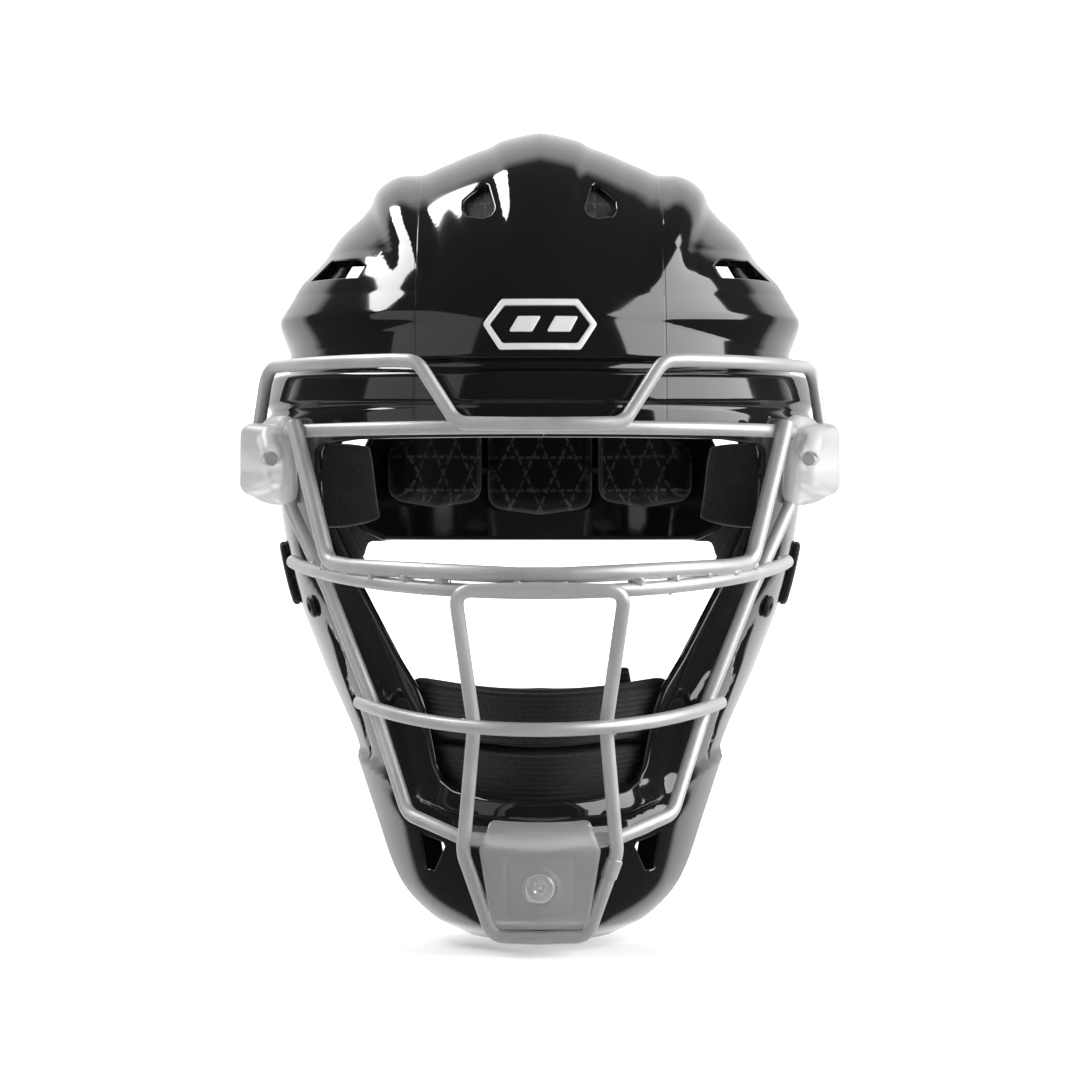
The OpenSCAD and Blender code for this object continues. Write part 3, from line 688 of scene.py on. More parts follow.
def frames_along(path, loop):
    """Tangents and two cross directions along a path, turning as little as they can."""
    ahead = np.roll(path, -1, 0) - np.roll(path, 1, 0) if loop else np.gradient(path, axis=0)
    tangents = unit(ahead)
    u = [unit(np.cross(tangents[0], [0.31, 0.9, 0.2]))]
    for t in tangents[1:]:
        u.append(unit(u[-1] - t * (u[-1] @ t)))
    u = np.array(u)
    if loop:
        end = unit(u[-1] - tangents[0] * (u[-1] @ tangents[0]))
        turn = math.atan2(np.cross(end, u[0]) @ tangents[0], end @ u[0])
        angle = turn * np.arange(len(path)) / len(path)
        w = np.cross(tangents, u)
        u = u * np.cos(angle)[:, None] + w * np.sin(angle)[:, None]
    return tangents, u, np.cross(tangents, u)


def tube(name, path, radius, loop=False, sides=20):
    """Round wire along a path, its ends cut off square with a small chamfer."""
    path = np.asarray(path, float)
    tangents, u, w = frames_along(path, loop)
    turn = np.arange(sides) * 2 * math.pi / sides
    normal = u[:, None] * np.cos(turn)[None, :, None] + w[:, None] * np.sin(turn)[None, :, None]
    rows, normals = list(path[:, None] + radius * normal), list(normal)
    if not loop:
        chamfer = 0.14 * radius
        for end, sign in ((0, -1), (-1, 1)):
            axis = sign * tangents[end]
            ring = path[end] + axis * chamfer + (radius - chamfer) * normal[end]
            caps = [(ring, unit(normal[end] + axis)), (ring, 0 * ring + axis)]
            centre = path[end] + axis * chamfer + 0.02 * normal[end]
            caps.append((centre, 0 * ring + axis))
            for p, q in caps:
                rows.insert(0, p) if end == 0 else rows.append(p)
                normals.insert(0, q) if end == 0 else normals.append(q)
    faces = strips(len(rows), sides, closed=loop)
    if not loop:
        faces += end_faces(len(rows), sides)
    return new_mesh(name, np.concatenate(rows), faces, np.concatenate(normals))


def down_and_across(n):
    across = unit(np.array([-n[1], n[0], 0]))
    return np.cross(across, n), across


def seat(phi, z, off=0.0, side=1):
    """Frame that stands on the shell: origin, down, across and outward directions."""
    p, n = form(np.array(float(phi)), row_of(z))
    down, across = down_and_across(n)
    mirror = np.array([side, 1, 1])
    return (p + n * off) * mirror, down * mirror, across * mirror, n * mirror


def turned(name, profile, place, sides=48, dent=None):
    """Solid of revolution: profile is (radius, height) pairs, place a seat. dent lowers its front."""
    origin, x_axis, y_axis, z_axis = place
    turn = np.arange(sides) * 2 * math.pi / sides
    c, s = np.cos(turn), np.sin(turn)
    points = []
    for r, h in profile:
        x, y = r * c, r * s
        drop = dent(x, y) if dent is not None and h > 0 else 0 * x
        points.append(origin + np.outer(x, x_axis) + np.outer(y, y_axis) + np.outer(h - drop, z_axis))
    faces = strips(len(profile), sides)
    if profile[0] != profile[-1]:
        faces += end_faces(len(profile), sides)
    return flip_if_inward(new_mesh(name, np.concatenate(points), faces, sharp=38))


def lumpy(name, centres, radii, seed=3):
    """Small lumps of weld metal."""
    rng = np.random.default_rng(seed)
    points, faces = [], []
    rows, sides = 7, 12
    a, b = np.meshgrid(np.arange(rows + 1) * math.pi / rows, np.arange(sides) * 2 * math.pi / sides, indexing="ij")
    sphere = np.stack([np.sin(a) * np.cos(b), np.sin(a) * np.sin(b), np.cos(a)], -1)
    for centre, radius in zip(centres, radii):
        wobble = 1 + 0.14 * rng.standard_normal((rows + 1, sides))
        wobble[[0, -1]] = 1
        faces += [turned_over(face) for face in strips(rows + 1, sides, len(points) * sphere[..., 0].size)]
        points.append((centre + radius * wobble[..., None] * sphere).reshape(-1, 3))
    return subdivide(new_mesh(name, np.concatenate(points), faces))


# ---------------------------------------------------------------- cage
WIRE_R, EYE_R = 2.6, 3.1


def bar_point(x, z, half_width, front):
    return (x, -front * math.sqrt(1 - (x / half_width) ** 2), z)


def bar_run(x0, x1, z0, z1, half_width, front, steps):
    shares = [k / steps for k in range(steps + 1)]
    return [(bar_point(mix(x0, x1, t), mix(z0, z1, t), half_width, front), 0) for t in shares]


def arched(end, z_mid, z_end, half_width, front, steps=60):
    last = math.asin(end / half_width)
    out = []
    for k in range(steps + 1):
        a = mix(-last, last, k / steps)
        z = mix(z_mid, z_end, (1 - math.cos(a)) / (1 - math.cos(last)))
        out.append(bar_point(half_width * math.sin(a), z, half_width, front))
    return np.array(out)


def flipped(corners):
    return [((-p[0], p[1], p[2]), r) for p, r in reversed(corners)]


def whole_loop(left):
    return left + flipped(left[1:-1])


BROW_BAR = (
    [((-103.7, -80, 31), 0), ((-112.5, -46, 33), 8), ((-107.5, -45, 68), 9)]
    + bar_run(-98, -55, 68, 67.5, 111, 133, 12)
    + [(bar_point(-46, 67, 111, 133), 9), (bar_point(-31, 43.5, 111, 134.5), 9)]
    + bar_run(-20, -7, 43.2, 43, 111, 135, 3)
)
OUTER_LOOP = [
    ((0, -144.5, -112), 0), ((-29, -138.5, -110), 0), ((-49.5, -120, -102.5), 10), ((-64, -97, -61), 22),
    ((-81, -84, -20), 0), ((-98, -65, 15), 14), ((-99.5, -67, 42), 6),
] + bar_run(-93, 0, 42, 42, 116, 130, 30)
EYE_FRAME = [((-94.5, -84.5, 45), 0), ((-80.5, -99.5, -8.5), 9)] + bar_run(-72, -8, -10, -12.9, 103, 158, 20)
NOSE_LOOP = [
    ((0, -140, -146.8), 0), ((-17.5, -139.5, -146.3), 7), ((-28.5, -141.5, -115), 14), ((-27.5, -144, -106), 0),
    ((-24.2, -149, -68), 10), ((-31, -162, -18.5), 6), ((0, -163.6, -17.8), 0),
]
WIRES = {
    "cage_brow_bar": (rounded(BROW_BAR + flipped(BROW_BAR)), WIRE_R, False),
    "cage_outer_loop": (rounded(whole_loop(OUTER_LOOP), True), WIRE_R, True),
    "cage_eye_frame": (rounded(EYE_FRAME + flipped(EYE_FRAME)), EYE_R, False),
    "cage_cheek_bar": (arched(97, -19, -8.5, 103, 158), WIRE_R, False),
    "cage_mouth_bar": (arched(69, -69, -62, 83.7, 160), WIRE_R, False),
    "cage_nose_loop": (rounded(whole_loop(NOSE_LOOP), True), WIRE_R, True),
}


def close_points(path, loop, step=1.0):
    ends = np.roll(path, -1, 0) if loop else path[1:]
    out = []
    for a, b in zip(path, ends):
        k = max(1, int(np.linalg.norm(b - a) / step))
        out += [mix(a, b, t) for t in np.arange(k) / k]
    return np.array(out)


def weld_places():
    """Where two wires touch, and how big the weld there is."""
    lines = [(close_points(p, loop), r) for p, r, loop in WIRES.values()]
    found = []
    for i, (a, ra) in enumerate(lines):
        for b, rb in lines[i + 1:]:
            gap = np.linalg.norm(a[:, None] - b[None], axis=-1)
            while True:
                k, m = np.unravel_index(np.argmin(gap), gap.shape)
                if gap[k, m] > ra + rb + 1.6:
                    break
                found.append(mix(a[k], b[m], ra / (ra + rb)))
                near_a, near_b = (np.linalg.norm(p - p[i], axis=1) < 16 for p, i in ((a, k), (b, m)))
                gap = np.where(near_a[:, None] | near_b[None], 99, gap)
    return found


def cage():
    for name, (path, radius, loop) in WIRES.items():
        piece = tube(name + "_wire", path, radius, loop)
        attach(piece, SHELL)
        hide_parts(name)
        paint(piece, WIRE_PAINT)
    places = weld_places()
    rng = np.random.default_rng(11)
    welds = lumpy("cage_welds", places, [2.5 + 0.35 * rng.random() for _ in places])
    crumbs, sizes = [], []
    for place in places:
        for _ in range(5):
            crumbs.append(place + rng.standard_normal(3) * (2.4, 1.6, 2.0))
            sizes.append(0.3 + 0.45 * rng.random())
    spatter = lumpy("cage_spatter", crumbs, sizes, 5)
    step = np.array([25.3, -141.0, -124.2])
    joint = tube("cage_nose_joint", [step, step + (2.2, -0.3, 6.2)], WIRE_R + 0.5)
    for piece in (welds, spatter, joint):
        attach(piece, SHELL)
        paint(piece, WIRE_PAINT)


# ---------------------------------------------------------------- materials
class Look:
    """A material made of nodes round one Principled shader."""

    def __init__(self, name, **values):
        self.material = bpy.data.materials.new(name)
        self.material.use_nodes = True
        self.tree = self.material.node_tree
        self.shader = self.tree.nodes["Principled BSDF"]
        coords = self.tree.nodes.new("ShaderNodeTexCoord")
        self.place, self.uv = coords.outputs["Object"], coords.outputs["UV"]
        self.normal = None
        self.set(self.shader, values)

    def set(self, node, values):
        for key, value in values.items():
            socket = node.inputs[key if isinstance(key, int) else key.replace("_", " ")]
            if isinstance(value, bpy.types.NodeSocket):
                self.tree.links.new(value, socket)
            else:
                socket.default_value = value

    def shade(self, **values):
        self.set(self.shader, values)

    def node(self, kind, options=(), **values):
        node = self.tree.nodes.new("ShaderNode" + kind)
        for key, value in dict(options).items():
            setattr(node, key, value)
        self.set(node, values)
        return node

    def noise(self, scale, detail=2.0, coords=None):
        return self.node("TexNoise", Vector=coords or self.place, Scale=scale, Detail=detail).outputs["Fac"]

    def cells(self, scale, feature="F1", coords=None):
        out = self.node("TexVoronoi", {"feature": feature}, Vector=coords or self.place, Scale=scale)
        return out.outputs["Distance"]

    def scaled(self, x, y, z=1.0, coords=None, turn=0.0):
        node = self.node("Mapping", Vector=coords or self.uv, Scale=(x, y, z), Rotation=(0, 0, math.radians(turn)))
        return node.outputs["Vector"]

    def split(self, coords=None):
        return self.node("SeparateXYZ", Vector=coords or self.place).outputs

    def maths(self, operation, a, b=0.0, c=0.0):
        node = self.node("Math", {"operation": operation})
        self.set(node, {0: a, 1: b, 2: c})
        return node.outputs[0]

    def wave(self, value, rate):
        return self.maths("SINE", self.maths("MULTIPLY", value, rate))

    def ranged(self, value, low, high, to_low, to_high):
        node = self.node("MapRange", Value=value, From_Min=low, From_Max=high, To_Min=to_low, To_Max=to_high)
        return node.outputs["Result"]

    def ramp(self, value, *stops):
        node = self.node("ValToRGB", Fac=value)
        line = node.color_ramp.elements
        while len(line) < len(stops):
            line.new(0.5)
        for element, (at, shade) in zip(line, stops):
            element.position = at
            element.color = (*shade, 1) if not isinstance(shade, float) else (shade, shade, shade, 1)
        return node.outputs["Color"]

    def bump(self, height, depth, strength=1.0):
        node = self.node("Bump", Height=height, Distance=depth, Strength=strength)
        if self.normal is not None:
            self.tree.links.new(self.normal, node.inputs["Normal"])
        self.normal = node.outputs["Normal"]
        self.shade(Normal=self.normal)


def paint(obj, look):
    obj.data.materials.clear()
    obj.data.materials.append(look.material)


def glossy_shell():
    look = Look("moulded_black_gloss", IOR=1.52, Coat_Weight=0.4, Coat_Roughness=0.03, Coat_IOR=1.5)
    haze = look.noise(14, 4)
    look.shade(Base_Color=look.ramp(haze, (0.3, (0.0035, 0.0035, 0.0038)), (0.75, (0.0065, 0.0065, 0.007))))
    smears = look.noise(1.0, 6, look.scaled(60, 60, 16, look.place))
    look.shade(Roughness=look.ranged(smears, 0.35, 0.75, 0.055, 0.12))
    x, y, z = look.split()
    seam = look.maths("ABSOLUTE", look.maths("SUBTRACT", look.maths("ABSOLUTE", x), 0.0475))
    line = look.ranged(seam, 0.00022, 0.0005, 0.0, 1.0)
    away = look.maths("MAXIMUM", look.ranged(y, -0.02, 0.0, 0.0, 1.0), look.ranged(z, 0.04, 0.041, 1.0, 0.0))
    look.bump(look.maths("MAXIMUM", line, away), 0.00018, 0.6)
    look.bump(look.noise(30, 1), 0.0002, 0.2)
    look.bump(look.noise(1500, 2), 0.00001, 0.25)
    return look


def moulded_plastic(name, shade, rough=0.42):
    look = Look(name, IOR=1.5)
    patches = look.noise(40, 4)
    look.shade(
        Base_Color=look.ramp(patches, (0.3, tuple(0.8 * c for c in shade)), (0.75, shade)),
        Roughness=look.ranged(patches, 0.3, 0.75, rough - 0.07, rough + 0.07),
    )
    look.bump(look.cells(2600), 0.00004, 0.5)
    return look


def wire_paint():
    look = Look("silver_wire_paint", Metallic=0.5, IOR=1.5, Coat_Weight=0.1, Coat_Roughness=0.35)
    flakes = look.cells(5200)
    patches = look.noise(60, 4)
    look.shade(
        Base_Color=look.ramp(
            look.maths("MULTIPLY_ADD", flakes, 0.35, patches), (0.3, (0.48, 0.483, 0.48)), (0.9, (0.62, 0.623, 0.62)),
        ),
        Roughness=look.ranged(patches, 0.3, 0.75, 0.4, 0.5),
    )
    look.bump(look.noise(220, 3), 0.00008, 0.25)
    look.bump(flakes, 0.00001, 0.3)
    return look


def bright_metal(name, shade, rough, metallic=1.0):
    look = Look(name, Metallic=metallic)
    scratches = look.noise(1.0, 5, look.scaled(900, 900, 90, look.place))
    look.shade(
        Base_Color=look.ramp(look.noise(150, 3), (0.3, tuple(0.85 * c for c in shade)), (0.8, shade)),
        Roughness=look.ranged(scratches, 0.3, 0.8, rough, rough + 0.14),
    )
    look.bump(scratches, 0.00002, 0.3)
    return look


def frosted_clear(name, through):
    look = Look(name, IOR=1.35, Transmission_Weight=through, Coat_Weight=0.25, Coat_Roughness=0.2)
    clouds = look.noise(55, 4)
    look.shade(
        Base_Color=look.ramp(clouds, (0.25, 0.9), (0.8, 0.98)),
        Roughness=look.ranged(clouds, 0.3, 0.75, 0.32, 0.46),
    )
    look.bump(look.noise(900, 3), 0.00004, 0.3)
    return look


def flocked(name, shade, scale=1500, sheen=0.7, depth=0.0005):
    look = Look(name, Roughness=0.95, Specular_IOR_Level=0.1, Sheen_Weight=sheen, Sheen_Roughness=0.45)
    fibre, patch = look.noise(scale, 4), look.noise(90, 4)
    mixed = look.maths("MULTIPLY_ADD", fibre, 0.65, look.maths("MULTIPLY", patch, 0.35))
    look.shade(Base_Color=look.ramp(mixed, (0.3, tuple(0.35 * c for c in shade)), (0.72, shade)))
    look.bump(fibre, depth, 0.8)
    look.bump(patch, 0.0012, 0.35)
    return look


def rib_knit():
    look = Look("rib_knit", Roughness=0.9, Specular_IOR_Level=0.12, Sheen_Weight=0.25, Sheen_Roughness=0.5)
    u, v, _ = look.split(look.uv)
    wave = look.maths("MULTIPLY", look.wave(u, 310.0), 0.16)
    rows = look.maths("SINE", look.maths("ADD", look.maths("MULTIPLY", v, 330.0), wave))
    stitches = look.maths("SINE", look.maths("MULTIPLY_ADD", u, 420.0, look.maths("MULTIPLY", rows, 0.6)))
    stitches = look.maths("ABSOLUTE", stitches)
    fuzz = look.noise(1200, 3)
    height = look.maths("ADD", look.maths("MULTIPLY", rows, 0.5), look.maths("MULTIPLY", stitches, 0.5))
    # Colour follows the knit's own height: painted shade darkens the grooves between rows and stitches, and the fuzz
    # adds random tone.
    shade = look.maths("ADD", look.maths("MULTIPLY", height, 0.35), look.maths("MULTIPLY", fuzz, 0.6))
    look.shade(Base_Color=look.ramp(shade, (0.1, 0.001), (0.85, (0.013, 0.013, 0.0135))))
    look.bump(height, 0.0006, 0.9)
    look.bump(fuzz, 0.0002, 0.5)
    return look


def liner_cloth():
    """Smooth knit with a printed pattern of broken lines that meet as triangles."""
    look = Look("printed_liner", Roughness=0.7, Specular_IOR_Level=0.3, Sheen_Weight=0.3, Sheen_Roughness=0.4)
    lines = []
    for turn in (0, 60, 120):
        u, v, _ = look.split(look.scaled(1, 1, 1, look.uv, turn))
        band = look.maths("SUBTRACT", look.maths("FRACT", look.maths("MULTIPLY", v, 7.0)), 0.5)
        line = look.ranged(look.maths("ABSOLUTE", band), 0.03, 0.055, 1.0, 0.0)
        gap = look.maths("FRACT", look.maths("MULTIPLY", u, 21.0))
        dash = look.maths("GREATER_THAN", gap, 0.3)
        lines.append(look.maths("MULTIPLY", line, dash))
    mask = look.maths("MAXIMUM", look.maths("MAXIMUM", lines[0], lines[1]), lines[2])
    worn = look.ranged(look.noise(160, 3), 0.3, 0.7, 0.4, 1.0)
    mask = look.maths("MULTIPLY", mask, worn)
    look.shade(Base_Color=look.ramp(mask, (0.0, (0.004, 0.004, 0.0045)), (1.0, (0.06, 0.06, 0.062))))
    weave = look.cells(330, "F1", look.uv)
    look.bump(weave, 0.00015, 0.6)
    look.bump(look.noise(70, 3), 0.0008, 0.3)
    return look


def webbing():
    look = Look("elastic_webbing", Roughness=0.8, Specular_IOR_Level=0.25, Sheen_Weight=0.35, Sheen_Roughness=0.4)
    u, v, _ = look.split(look.uv)
    rows = look.wave(v, 500.0)
    ribs = look.maths("ABSOLUTE", rows)
    offset = look.maths("MULTIPLY", look.maths("GREATER_THAN", rows, 0.0), 3.14)
    picks = look.maths("SINE", look.maths("MULTIPLY_ADD", u, 620.0, offset))
    weave = look.maths("MULTIPLY_ADD", picks, 0.3, ribs)
    fuzz = look.noise(1400, 3)
    # Colour follows the weave's own height: painted shade darkens the grooves between ribs and picks, and the fuzz
    # adds random tone.
    shade = look.maths("MULTIPLY_ADD", weave, 0.4, look.maths("MULTIPLY", fuzz, 0.5))
    look.shade(Base_Color=look.ramp(shade, (0.1, 0.002), (0.9, (0.028, 0.028, 0.03))))
    look.bump(weave, 0.0004, 0.9)
    look.bump(fuzz, 0.00015, 0.4)
    return look


def badge_print():
    look = Look("badge_white", IOR=1.5, Coat_Weight=0.5, Coat_Roughness=0.05)
    patches = look.noise(90, 3)
    look.shade(
        Base_Color=look.ramp(patches, (0.3, 0.78), (0.7, 0.86)),
        Roughness=look.ranged(patches, 0.3, 0.7, 0.18, 0.3),
    )
    return look


SHELL_GLOSS, WIRE_PAINT = glossy_shell(), wire_paint()
CHROME = bright_metal("chromed_steel", (0.86, 0.86, 0.87), 0.16, 0.6)
CLEAR, CHIN_CLEAR = frosted_clear("frosted_clear_plastic", 0.55), frosted_clear("frosted_clear_chin", 0.84)
TRIM = moulded_plastic("black_trim", (0.014, 0.014, 0.014))
STEEL = bright_metal("plated_steel", (0.5, 0.5, 0.51), 0.26)
FLOCK = flocked("flocked_foam", (0.05, 0.05, 0.05), 1300)
VELVET = flocked("velvet_edge", (0.035, 0.035, 0.036), 1900, 0.9)
KNIT, LINER, WEBBING = rib_knit(), liner_cloth(), webbing()
LOOPS = flocked("hook_and_loop", (0.02, 0.02, 0.02), 900, 0.5, 0.0008)
BADGE = badge_print()


# ---------------------------------------------------------------- the shell, its badge and eyelets
def finish_piece(piece, body, node, slot, look):
    """What every piece of the helmet gets."""
    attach(piece, body)
    if node:
        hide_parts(node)
    paint(piece, look)
    return piece


def pair(piece, body, node, slot, look, finish=finish_piece):
    """A piece on the wearer's left and its twin on the right; node ends in _left."""
    name = piece.name
    twin = mirrored(piece, name.replace("_left", "_right"))
    finish(piece, body, node, slot, look)
    finish(twin, body, node and node.replace("_left", "_right"), slot, look)
    return piece, twin


def badge():
    """Plain mark on the brow: a long six-sided ring round a bar with two cut ends."""
    arc = 124.0

    def place(a, b, h):
        return skin(np.degrees(a / arc), row_of(b), h + 0.35)

    def outline_of(half_w, half_h, point):
        z = 80.5
        corners = [(-half_w, z, 1), (-half_w + point, z - half_h, 1.5), (half_w - point, z - half_h, 1.5),
                   (half_w, z, 1), (half_w - point, z + half_h, 1.5), (-half_w + point, z + half_h, 1.5)]
        return outline(corners, step=0.7)

    outer, inner = outline_of(26, 9.6, 8), outline_of(23, 7.3, 6.4)
    count = 240

    def spread(line):
        gaps = np.linalg.norm(np.roll(line, -1, 0) - line, axis=1)
        at = np.concatenate([[0], np.cumsum(gaps)])
        line = np.concatenate([line, line[:1]])
        t = np.linspace(0, at[-1], count, endpoint=False)
        return np.stack([np.interp(t, at, line[:, 0]), np.interp(t, at, line[:, 1])], 1)

    outer, inner = spread(outer), spread(inner)
    rows = [(0, -0.3), (0, 0.35), (0.12, 0.55), (0.88, 0.55), (1, 0.35), (1, -0.3)]
    rows = [(mix(outer, inner, share), height) for share, height in rows]
    points = np.concatenate([place(p[:, 0], p[:, 1], h) for p, h in rows])
    ring = new_mesh("badge_ring", points, strips(len(rows), count), sharp=50)
    finish_piece(ring, SHELL, "brow_badge", "badge_white", BADGE)
    rounding = lambda d: 0.55 - 0.2 * np.exp(-(d / 0.3) ** 2)
    bars = [[(-14, 77.6, 0.6), (-3.5, 77.6, 0.6), (0.5, 83.4, 0.6), (-10, 83.4, 0.6)],
            [(3, 77.6, 0.6), (13.5, 77.6, 0.6), (17.5, 83.4, 0.6), (7, 83.4, 0.6)]]
    for k, bar in enumerate(bars):
        piece = panel("badge_bar_%d" % k, outline(bar, step=0.7), place, rounding, rings=5, sharp=50)
        finish_piece(flip_if_inward(piece), SHELL, None, "badge_white", BADGE)


def eyelets():
    profile = [
        (1.6, 0.9), (1.7, 1.6), (2.2, 2.0), (3.6, 1.9), (4.3, 1.4),
        (4.5, 0.5), (3.0, 0.4), (3.0, -4.2), (1.6, -4.2), (1.6, 0.9),
    ]
    pair(turned("eyelet_left", profile, seat(*EYELET)), SHELL, "eyelet_left", "trim_black", TRIM)


# ---------------------------------------------------------------- clips, screws and nuts
def joined(name, pieces):
    base = pieces[0]
    with bpy.context.temp_override(active_object=base, selected_editable_objects=pieces, selected_objects=pieces):
        bpy.ops.object.join()
    base.name = name
    return base


def fused(name, pieces, voxel, smooth_steps):
    """One moulded part from overlapping forms."""
    base = joined(name, pieces)
    base.data.name = name
    remesh = base.modifiers.new("remesh", "REMESH")
    remesh.mode, remesh.voxel_size = "VOXEL", voxel * MM
    relax = base.modifiers.new("relax", "SMOOTH")
    relax.factor, relax.iterations = 0.5, smooth_steps
    return applied(base)


def applied(obj):
    """obj with its modifiers applied to its mesh."""
    graph = bpy.context.evaluated_depsgraph_get()
    mesh = bpy.data.meshes.new_from_object(obj.evaluated_get(graph))
    obj.modifiers.clear()
    obj.data = mesh
    mesh.polygons.foreach_set("use_smooth", [True] * len(mesh.polygons))
    return obj


def hull_of(name, balls):
    """Convex form round balls, each (centre, radius)."""
    shape = bmesh.new()
    for centre, radius in balls:
        made = bmesh.ops.create_uvsphere(shape, u_segments=24, v_segments=14, radius=radius * MM)
        bmesh.ops.translate(shape, verts=made["verts"], vec=Vector(centre) * MM)
    made = bmesh.ops.convex_hull(shape, input=shape.verts)
    spare = [v for v in made["geom_interior"] + made["geom_unused"] if isinstance(v, bmesh.types.BMVert)]
    bmesh.ops.delete(shape, geom=spare, context="VERTS")
    mesh = bpy.data.meshes.new(name)
    shape.to_mesh(mesh)
    shape.free()
    return placed(name, mesh)


def cut_away(obj, tools):
    for tool in tools:
        cut = obj.modifiers.new("cut", "BOOLEAN")
        cut.operation, cut.solver, cut.object = "DIFFERENCE", "EXACT", tool
    applied(obj)
    for tool in tools:
        bpy.data.objects.remove(tool)
    return obj


def on_seat(place):
    p, down, across, out = place
    return lambda a, b, h: p + np.multiply.outer(a, down) + np.multiply.outer(b, across) + np.multiply.outer(h, out)


def side_clip():
    place = on_seat(seat(*SIDE_SCREW))
    plate = panel(
        "plate", outline([(-19, -19), (8, -17), (8, 13), (-17, 8)], 6), place,
        rolled(5.2, 1.2, 1.4), lambda d: 1.2 + 0 * d,
    )
    pocket = hull_of("pocket", [
        ((104.5, -70, 40), 4.2), ((104.5, -71, 24), 4.2), ((112.4, -62, 41), 4.6), ((112.6, -62, 22), 4.6),
        ((113, -42, 42), 4.4), ((112, -42, 22), 4.4), ((106, -44, 42), 4), ((104, -44, 18), 4),
    ])
    bump = hull_of("bump", [((103.8, -78, 34), 4.1), ((103.8, -70, 34), 4.1), ((105.5, -72, 38.5), 4.0)])
    foot = hull_of("foot", [
        ((108.4, -58, 19), 4), ((105.6, -52, 17.5), 3.6), ((102.5, -60, 20), 3.4), ((109, -52, 24), 4),
    ])
    wrap = hull_of("wrap", [
        ((99.4, -66, 44), 4.6), ((98.6, -66, 18), 4.4), ((104, -60, 44), 4.4), ((103, -60, 19), 4.2),
    ])
    clip = fused("side_clip_left_body", [plate, pocket, bump, foot, wrap], 0.75, 7)
    centre = seat(*SIDE_SCREW, 4.6)
    recess = turned("recess", [(0.01, 0), (6.4, 0), (6.4, 20), (0.01, 20)], centre, 40)
    bore = tube("bore", [(103.7, -90, 31), (103.7, -79.5, 31)], 3.3, sides=32)
    cut_away(clip, [recess, bore])
    pair(clip, SHELL, "side_clip_left", "clip_clear", CLEAR)


CLIP_TOP, CLIP_WIDE, CLIP_FOOT, CHIN_SCREW_Z = -104.2, -114.0, -142.4, -127.6
# The chin clip's side profile, as (z, y), and the half outline of its front, as (x, z, corner radius).
CLIP_PATH = (
    (CLIP_FOOT, -147.6), (-140, -148.6), (-128, -149.2), (CLIP_WIDE, -149.3),
    (-110, -149.6), (-107.2, -149.4), (-105.3, -147.2), (CLIP_TOP, -144.4),
)
CLIP_HALF = ((17.6, CLIP_FOOT, 5), (22.4, CLIP_WIDE, 4), (18.4, CLIP_TOP, 3))


def left_of(corner):
    return (-corner[0], *corner[1:])


def chin_clip():
    """Clear plate that curls forward over the cage's lower bar and is screwed to the chin."""
    z_of, y_of = np.array(CLIP_PATH).T

    def place(a, b, h):
        sag = 1.1 * (1 - (a / 20) ** 2) * smooth(-110, -104, b)
        y = np.interp(b, z_of, y_of) + 0.004 * a * a
        slope = (np.interp(b + 0.6, z_of, y_of) - np.interp(b - 0.6, z_of, y_of)) / 1.2
        n = unit(np.stack([-0.008 * a, -np.ones_like(a), slope], -1))
        return np.stack([a, y, b - sag], -1) + n * np.asarray(h)[..., None]

    foot, wide, top = CLIP_HALF
    edge = outline([left_of(foot), foot, wide, top, left_of(top), left_of(wide)], step=1.0)

    def relief(a, b):
        frame = np.maximum(np.abs(a) - 12.5, np.abs(b + 127) - 11)
        groove = -0.28 * np.exp(-(frame / 0.8) ** 2)
        spine = 0.22 * np.exp(-(a / 0.8) ** 2) * (b < -133)
        ring = np.hypot(a, b - CHIN_SCREW_Z)
        recess = 0.5 * np.exp(-((ring - 6.7) / 0.7) ** 2) - 1.5 * (1 - smooth(5.4, 5.9, ring))
        return groove * (ring > 8) + spine + recess

    front, back = rolled(2.6, 1.1, 1.1), rolled(-0.6, -0.7, 0.8)
    clip = panel("chin_clip_body", edge, place, front, back, rings=44, relief=relief, sharp=60)
    finish_piece(flip_if_inward(clip), SHELL, "chin_clip", "clip_clear", CHIN_CLEAR)
    profile = [(2.6, 1.2), (5.4, 1.2), (6.0, 1.8), (6.0, 9.0), (2.6, 9.0), (2.6, 1.2)]
    spacer = turned("chin_clip_spacer", profile, chin_seat())
    finish_piece(spacer, SHELL, None, "clip_clear", CHIN_CLEAR)


def chin_seat():
    return np.array([0, -139.5, CHIN_SCREW_Z]), np.array([0, 0, -1.0]), np.array([1.0, 0, 0]), np.array([0, -1.0, 0])


def phillips(x, y):
    """Depth of the cross recess at a point of a screw's head."""
    c, s = math.cos(0.6), math.sin(0.6)
    x, y = c * x + s * y, c * y - s * x
    depth = 0
    for u, w in ((x, y), (y, x)):
        across = 1 - smooth(0.36, 0.62, np.abs(u))
        along = 1 - smooth(0.8, 2.9, np.abs(w))
        depth = np.maximum(depth, across * along)
    return 1.5 * np.maximum(depth, 1 - smooth(0.5, 1.1, np.hypot(x, y)))


def screw(name, place, node, seat_h, tip):
    """Pan-head screw with a cross recess."""
    radius, turns = 5.6, np.linspace(0, math.pi / 2, 26)[:-1]
    top = [(radius * math.cos(t), seat_h + 0.5 + 1.7 * math.sin(t)) for t in turns]
    profile = [(2.4, tip), (2.4, seat_h), (radius, seat_h)] + top + [(0.02, seat_h + 2.2)]
    piece = turned(name, profile, place, 96, phillips)
    finish_piece(piece, SHELL, node, "screw_chrome", CHROME)


def screws():
    for side, word in ((1, "left"), (-1, "right")):
        screw("side_screw_%s_head" % word, seat(*SIDE_SCREW, 0, side), "side_screw_" + word, 4.6, -5.6)
        paint_node(frame["nodes"]["side_nut_" + word], STEEL)
    screw("chin_screw_head", chin_seat(), "chin_screw", 9.6, -7.0)
    paint_node(frame["nodes"]["chin_nut"], STEEL)


